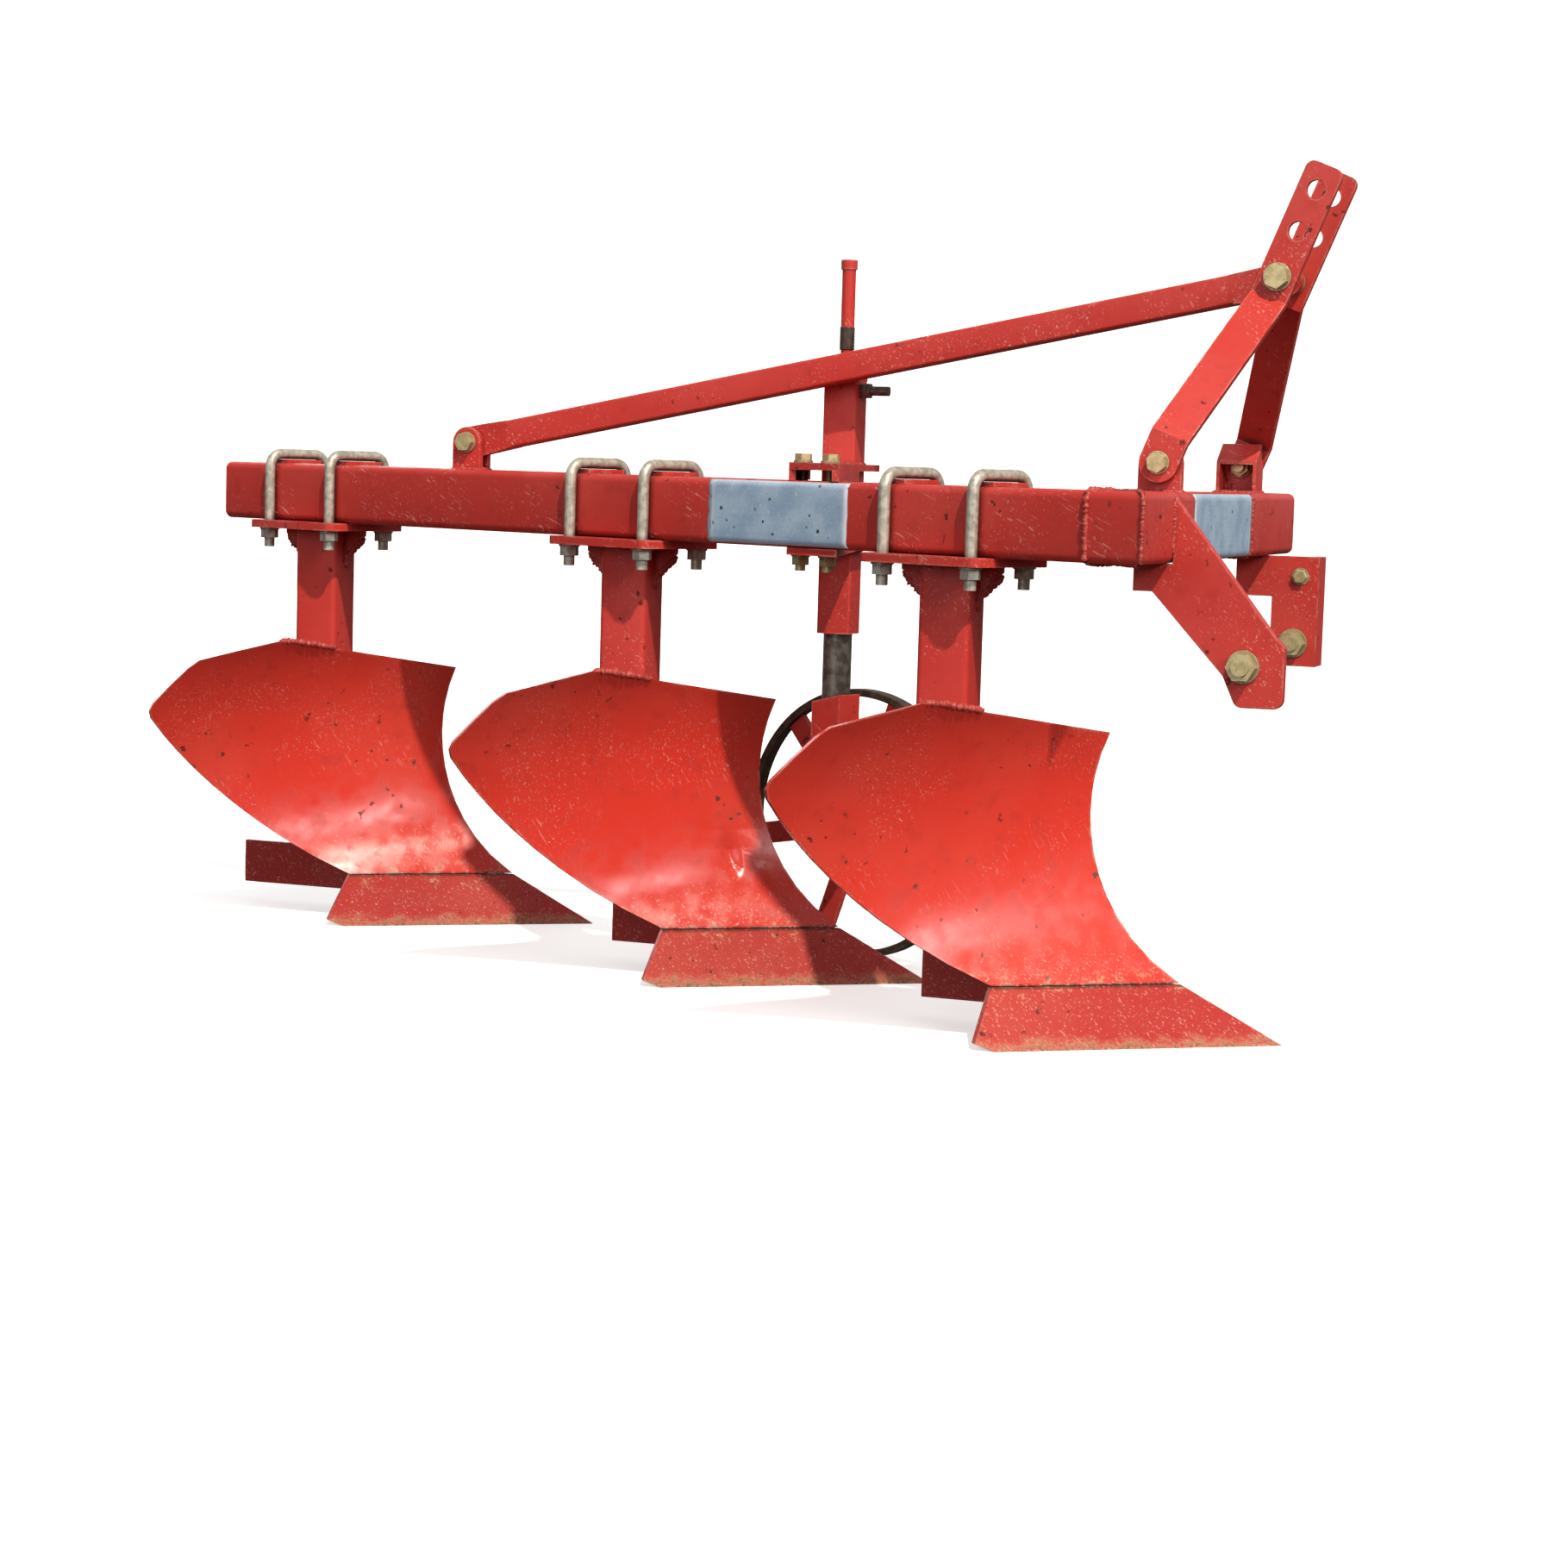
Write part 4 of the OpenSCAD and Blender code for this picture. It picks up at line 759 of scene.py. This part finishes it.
# %% Thread
THREAD_LOW, THREAD_HIGH, THREAD_PITCH = 894, 927, 3.0
THREAD_CREST, THREAD_ROOT, THREAD_SIDES = 11.6 * MM, 10.1 * MM, 32


def turned(outline, sides, x=0.0, y=0.0):
    """Points of an outline of (radius, height), turned round an upright axis."""
    turns = [2 * math.pi * k / sides for k in range(sides)]
    return [Vector((x + radius * math.cos(turn), y + radius * math.sin(turn), height))
            for radius, height in outline for turn in turns]


spindle_low, spindle_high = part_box("depth_spindle")
axis = (spindle_low + spindle_high) / 2
thread_turns = round((THREAD_HIGH - THREAD_LOW) / THREAD_PITCH)
profile = [(THREAD_CREST if k % 2 else THREAD_ROOT, (THREAD_LOW + k * THREAD_PITCH / 2) * MM)
           for k in range(2 * thread_turns + 1)]
fitted_piece("spindle_thread", turned(profile, THREAD_SIDES, axis.x, axis.y),
             tube_faces(len(profile), THREAD_SIDES), RUSTY)

# %% [markdown]
# ## Primer patches
# A patch is a skin of paint that follows the tube's face and starts round its corners. It could be a
# mask in the enamel, but as a strip with its own thin edge, 0.4 mm proud, it catches light as thick
# brushed paint does. Its ends wander a little, as a brush leaves them.

# %% Patch maker
PROUD, SKIN = 0.4, 0.35
PATCH_ARC, PATCH_ARC_STEPS = 52, 4      # how far the paint goes round a corner, in degrees
PATCH_ROWS, PATCH_COLUMNS = 6, 30
BRUSH_WANDER = 1.6


def primer_patch(name, place, start, end, seed):
    """Thin brushed skin on a tube's near face; place takes (station, inward, height)."""
    draw = random.Random(seed)
    arc = [PATCH_ARC * k / PATCH_ARC_STEPS for k in range(PATCH_ARC_STEPS + 1)]
    flat_top, flat_height = TUBE_TOP - TUBE_R, TUBE_TOP - TUBE_LOW - 2 * TUBE_R
    profile = [tube_corner(90 - PATCH_ARC + turn, PROUD) for turn in arc]
    profile += [(-PROUD, flat_top - flat_height * k / PATCH_ROWS) for k in range(1, PATCH_ROWS)]
    profile += [tube_corner(turn, PROUD, low=True) for turn in arc]
    width = len(profile)
    ends = [[draw.uniform(-BRUSH_WANDER, BRUSH_WANDER) for _ in profile] for _ in range(2)]
    wander = {0: ends[0], PATCH_COLUMNS: ends[1]}
    still = [0.0] * width
    verts, faces = [], []
    for c in range(PATCH_COLUMNS + 1):
        station = start + (end - start) * c / PATCH_COLUMNS
        for (inward, height), stray in zip(profile, wander.get(c, still)):
            verts.append(place(station + stray, inward, height))
    for c in range(PATCH_COLUMNS):
        for a in range(c * width, (c + 1) * width - 1):
            faces.append((a, a + 1, a + width + 1, a + width))
    skin = fitted_piece(name, verts, faces, PRIMER).modifiers.new("skin", "SOLIDIFY")
    skin.thickness = SKIN * MM
    skin.offset = 0.0


primer_patch("primer_patch_beam", beam_point, 483.0, 741.0, 41)
primer_patch("primer_patch_cross", cross_point, 284.0, 648.0, 42)

# %% [markdown]
# ## A small bracket bolt
# One hex bolt holds the left lower-link bracket above its pin. A hex head has a turned chamfer, so a
# plain six-sided prism would look like a toy. It is built as stacked rings: a washer, the six flats
# and a narrower top.

# %% Hex bolt
BOLT_FLAT = 19                          # across flats, in millimetres
BOLT_AT = Vector((BEND.x + 41 * MM, bracket_low.y, 587 * MM))
BOLT_OUT = Vector((0, -1, 0))
BOLT_TURN = 0.2
WASHER_SIDES, WASHER_T = 24, 1.8


def hex_bolt(name):
    """Washer and chamfered hex head standing on the bracket's face."""
    side = BOLT_OUT.orthogonal().normalized()
    other = BOLT_OUT.cross(side)
    corner = BOLT_FLAT / 2 / math.cos(math.radians(30)) * MM
    washer = BOLT_FLAT * 0.66 * MM
    rings = ((WASHER_SIDES, washer, 0.0), (WASHER_SIDES, washer, WASHER_T), (6, corner, WASHER_T),
             (6, corner, BOLT_FLAT * 0.38), (6, corner * 0.86, BOLT_FLAT * 0.45))
    verts = []
    for count, radius, rise in rings:
        for k in range(count):
            turn = 2 * math.pi * k / count + BOLT_TURN
            out = side * math.cos(turn) + other * math.sin(turn)
            verts.append(BOLT_AT + out * radius + BOLT_OUT * rise * MM)
    head = 2 * WASHER_SIDES
    faces = tube_faces(2, WASHER_SIDES, capped=False) + tube_faces(3, 6, head, capped=False)
    faces += [tuple(range(WASHER_SIDES, head)), tuple(range(head + 12, head + 18))]
    fitted_piece(name, verts, faces, CHROMATE, smooth=False)


hex_bolt("bracket_bolt")

# %% [markdown]
# ## The studio's paper
# The plough stands on a pale round sweep: a floor that curves up into a wall on all sides, so no
# horizon shows from any direction. A flat plane would end in a line behind the plough. The paper glows
# a little and is left out of bounced light and reflections, so it stays even and does not tint the red.

# %% Pale sweep
SWEEP_FLAT, SWEEP_BEND, SWEEP_TOP = 14.0, 4.0, 16.0     # metres
SWEEP_SIDES, SWEEP_STEPS = 64, 12


def studio_paper(name):
    """Matt pale paper with a faint cloudiness and a glow of its own."""
    made, tree, shader, place = start_material(name)
    soft = add(tree, "ShaderNodeTexNoise", {"Vector": place, "Scale": 0.6, "Detail": 2.0})
    colour = coat(tree, linear("#f4f3ef"), "#f8f8f5", 1.0, where(tree, (soft, 0.3, 0.7)))
    tree.links.new(colour, shader.inputs["Base Color"])
    shader.inputs["Roughness"].default_value = 0.95
    shader.inputs["Specular IOR Level"].default_value = 0.0
    shader.inputs["Emission Color"].default_value = linear("#fbfaf7")
    shader.inputs["Emission Strength"].default_value = 0.55
    return made


outline = [(0.01, 0.0), (SWEEP_FLAT, 0.0)]
for k in range(1, SWEEP_STEPS + 1):
    turn = math.pi / 2 * k / SWEEP_STEPS
    outline.append((SWEEP_FLAT + SWEEP_BEND * math.sin(turn), SWEEP_BEND - SWEEP_BEND * math.cos(turn)))
outline.append((SWEEP_FLAT + SWEEP_BEND, SWEEP_TOP))
sweep = new_mesh("pale_sweep", turned(outline, SWEEP_SIDES),
                 tube_faces(len(outline), SWEEP_SIDES, capped=False), studio_paper("pale_studio_paper"))
sweep.visible_diffuse = False
sweep.visible_glossy = False
sweep.visible_shadow = False
print("sweep:", SWEEP_FLAT + SWEEP_BEND, "m in radius")

# %% [markdown]
# ## Light
# A key light from high ahead and to the right gives the clear shadows of a bright day. A sky picture
# would light the scene too, but four plain lights are easier to steer. The softbox makes the broad
# bands of shine on the boards, a side fill lifts the shaded faces, and a back fill does the same for
# the far side. A pale dome fills the rest.

# %% Lamps and dome
SUN_WAY = Vector((0.43, -0.495, 0.755))
PANEL_DISTANCE = 12
# Name, direction it stands in, width in metres and power in watts.
PANELS = (
    ("softbox", Vector((0.73, -0.55, 0.41)), 3.4, 430),
    ("side_fill", Vector((-0.1, -1.0, 0.3)), 6.0, 230),
    ("back_fill", Vector((-0.75, 0.8, 0.35)), 6.0, 420),
)


def lamp(name, kind, way, power):
    """New light that stands in a direction and shines back at the plough."""
    light = bpy.data.lights.new(name, kind)
    light.energy = power
    stand = bpy.data.objects.new(name, light)
    stand.location = way.normalized() * PANEL_DISTANCE
    stand.rotation_euler = way.to_track_quat("Z", "Y").to_euler()
    bpy.context.scene.collection.objects.link(stand)
    return light


key = lamp("key_sun", "SUN", SUN_WAY, 3.0)
key.angle = math.radians(1.5)
key.color = linear("#fff4e4")[:3]
for name, way, width, watts in PANELS:
    panel = lamp(name, "AREA", way, watts)
    panel.shape = "SQUARE"
    panel.size = width

world = bpy.data.worlds.new("pale_dome")
world.use_nodes = True
sky = world.node_tree
way_up = add(sky, "ShaderNodeTexCoord", out="Generated")
height = add(sky, "ShaderNodeSeparateXYZ", {"Vector": way_up}, out="Z")
dome = coat(sky, linear("#6f6a66"), "#e6ebf2", 1.0, where(sky, (height, -0.1, 0.25)))
background = sky.nodes["Background"]
sky.links.new(dome, background.inputs["Color"])
background.inputs["Strength"].default_value = 0.45
bpy.context.scene.world = world
print("key light from:", tuple(round(v, 3) for v in SUN_WAY), "panels:", len(PANELS))

# %% [markdown]
# ## Camera
# The camera stands ahead of the plough and to its right, a little above the beam, as a visitor would
# look along it. Its three directions and its lens are set outright, since a tracking constraint would
# lose the slight roll of a camera held in the hand.

# %% Camera
CAMERA_RIGHT = Vector((0.93873, 0.34339, 0.02969))
CAMERA_UP = Vector((-0.06234, 0.08447, 0.99447))
CAMERA_AHEAD = Vector((-0.33898, 0.93539, -0.10071))
CAMERA_FROM_BEND = Vector((0.8973, -3.7214, 0.7230))
lens = bpy.data.cameras.new("photo_camera")
lens.lens = 71.85
lens.sensor_width = 36.0
camera = bpy.data.objects.new("photo_camera", lens)
facing = Matrix((CAMERA_RIGHT, CAMERA_UP, -CAMERA_AHEAD)).transposed().to_4x4()
camera.matrix_world = Matrix.Translation(BEND + CAMERA_FROM_BEND) @ facing
bpy.context.scene.collection.objects.link(camera)
bpy.context.scene.camera = camera
bpy.context.scene.view_settings.view_transform = "Standard"
bpy.context.scene.view_settings.look = "None"
print("camera at:", tuple(round(v, 3) for v in camera.location))
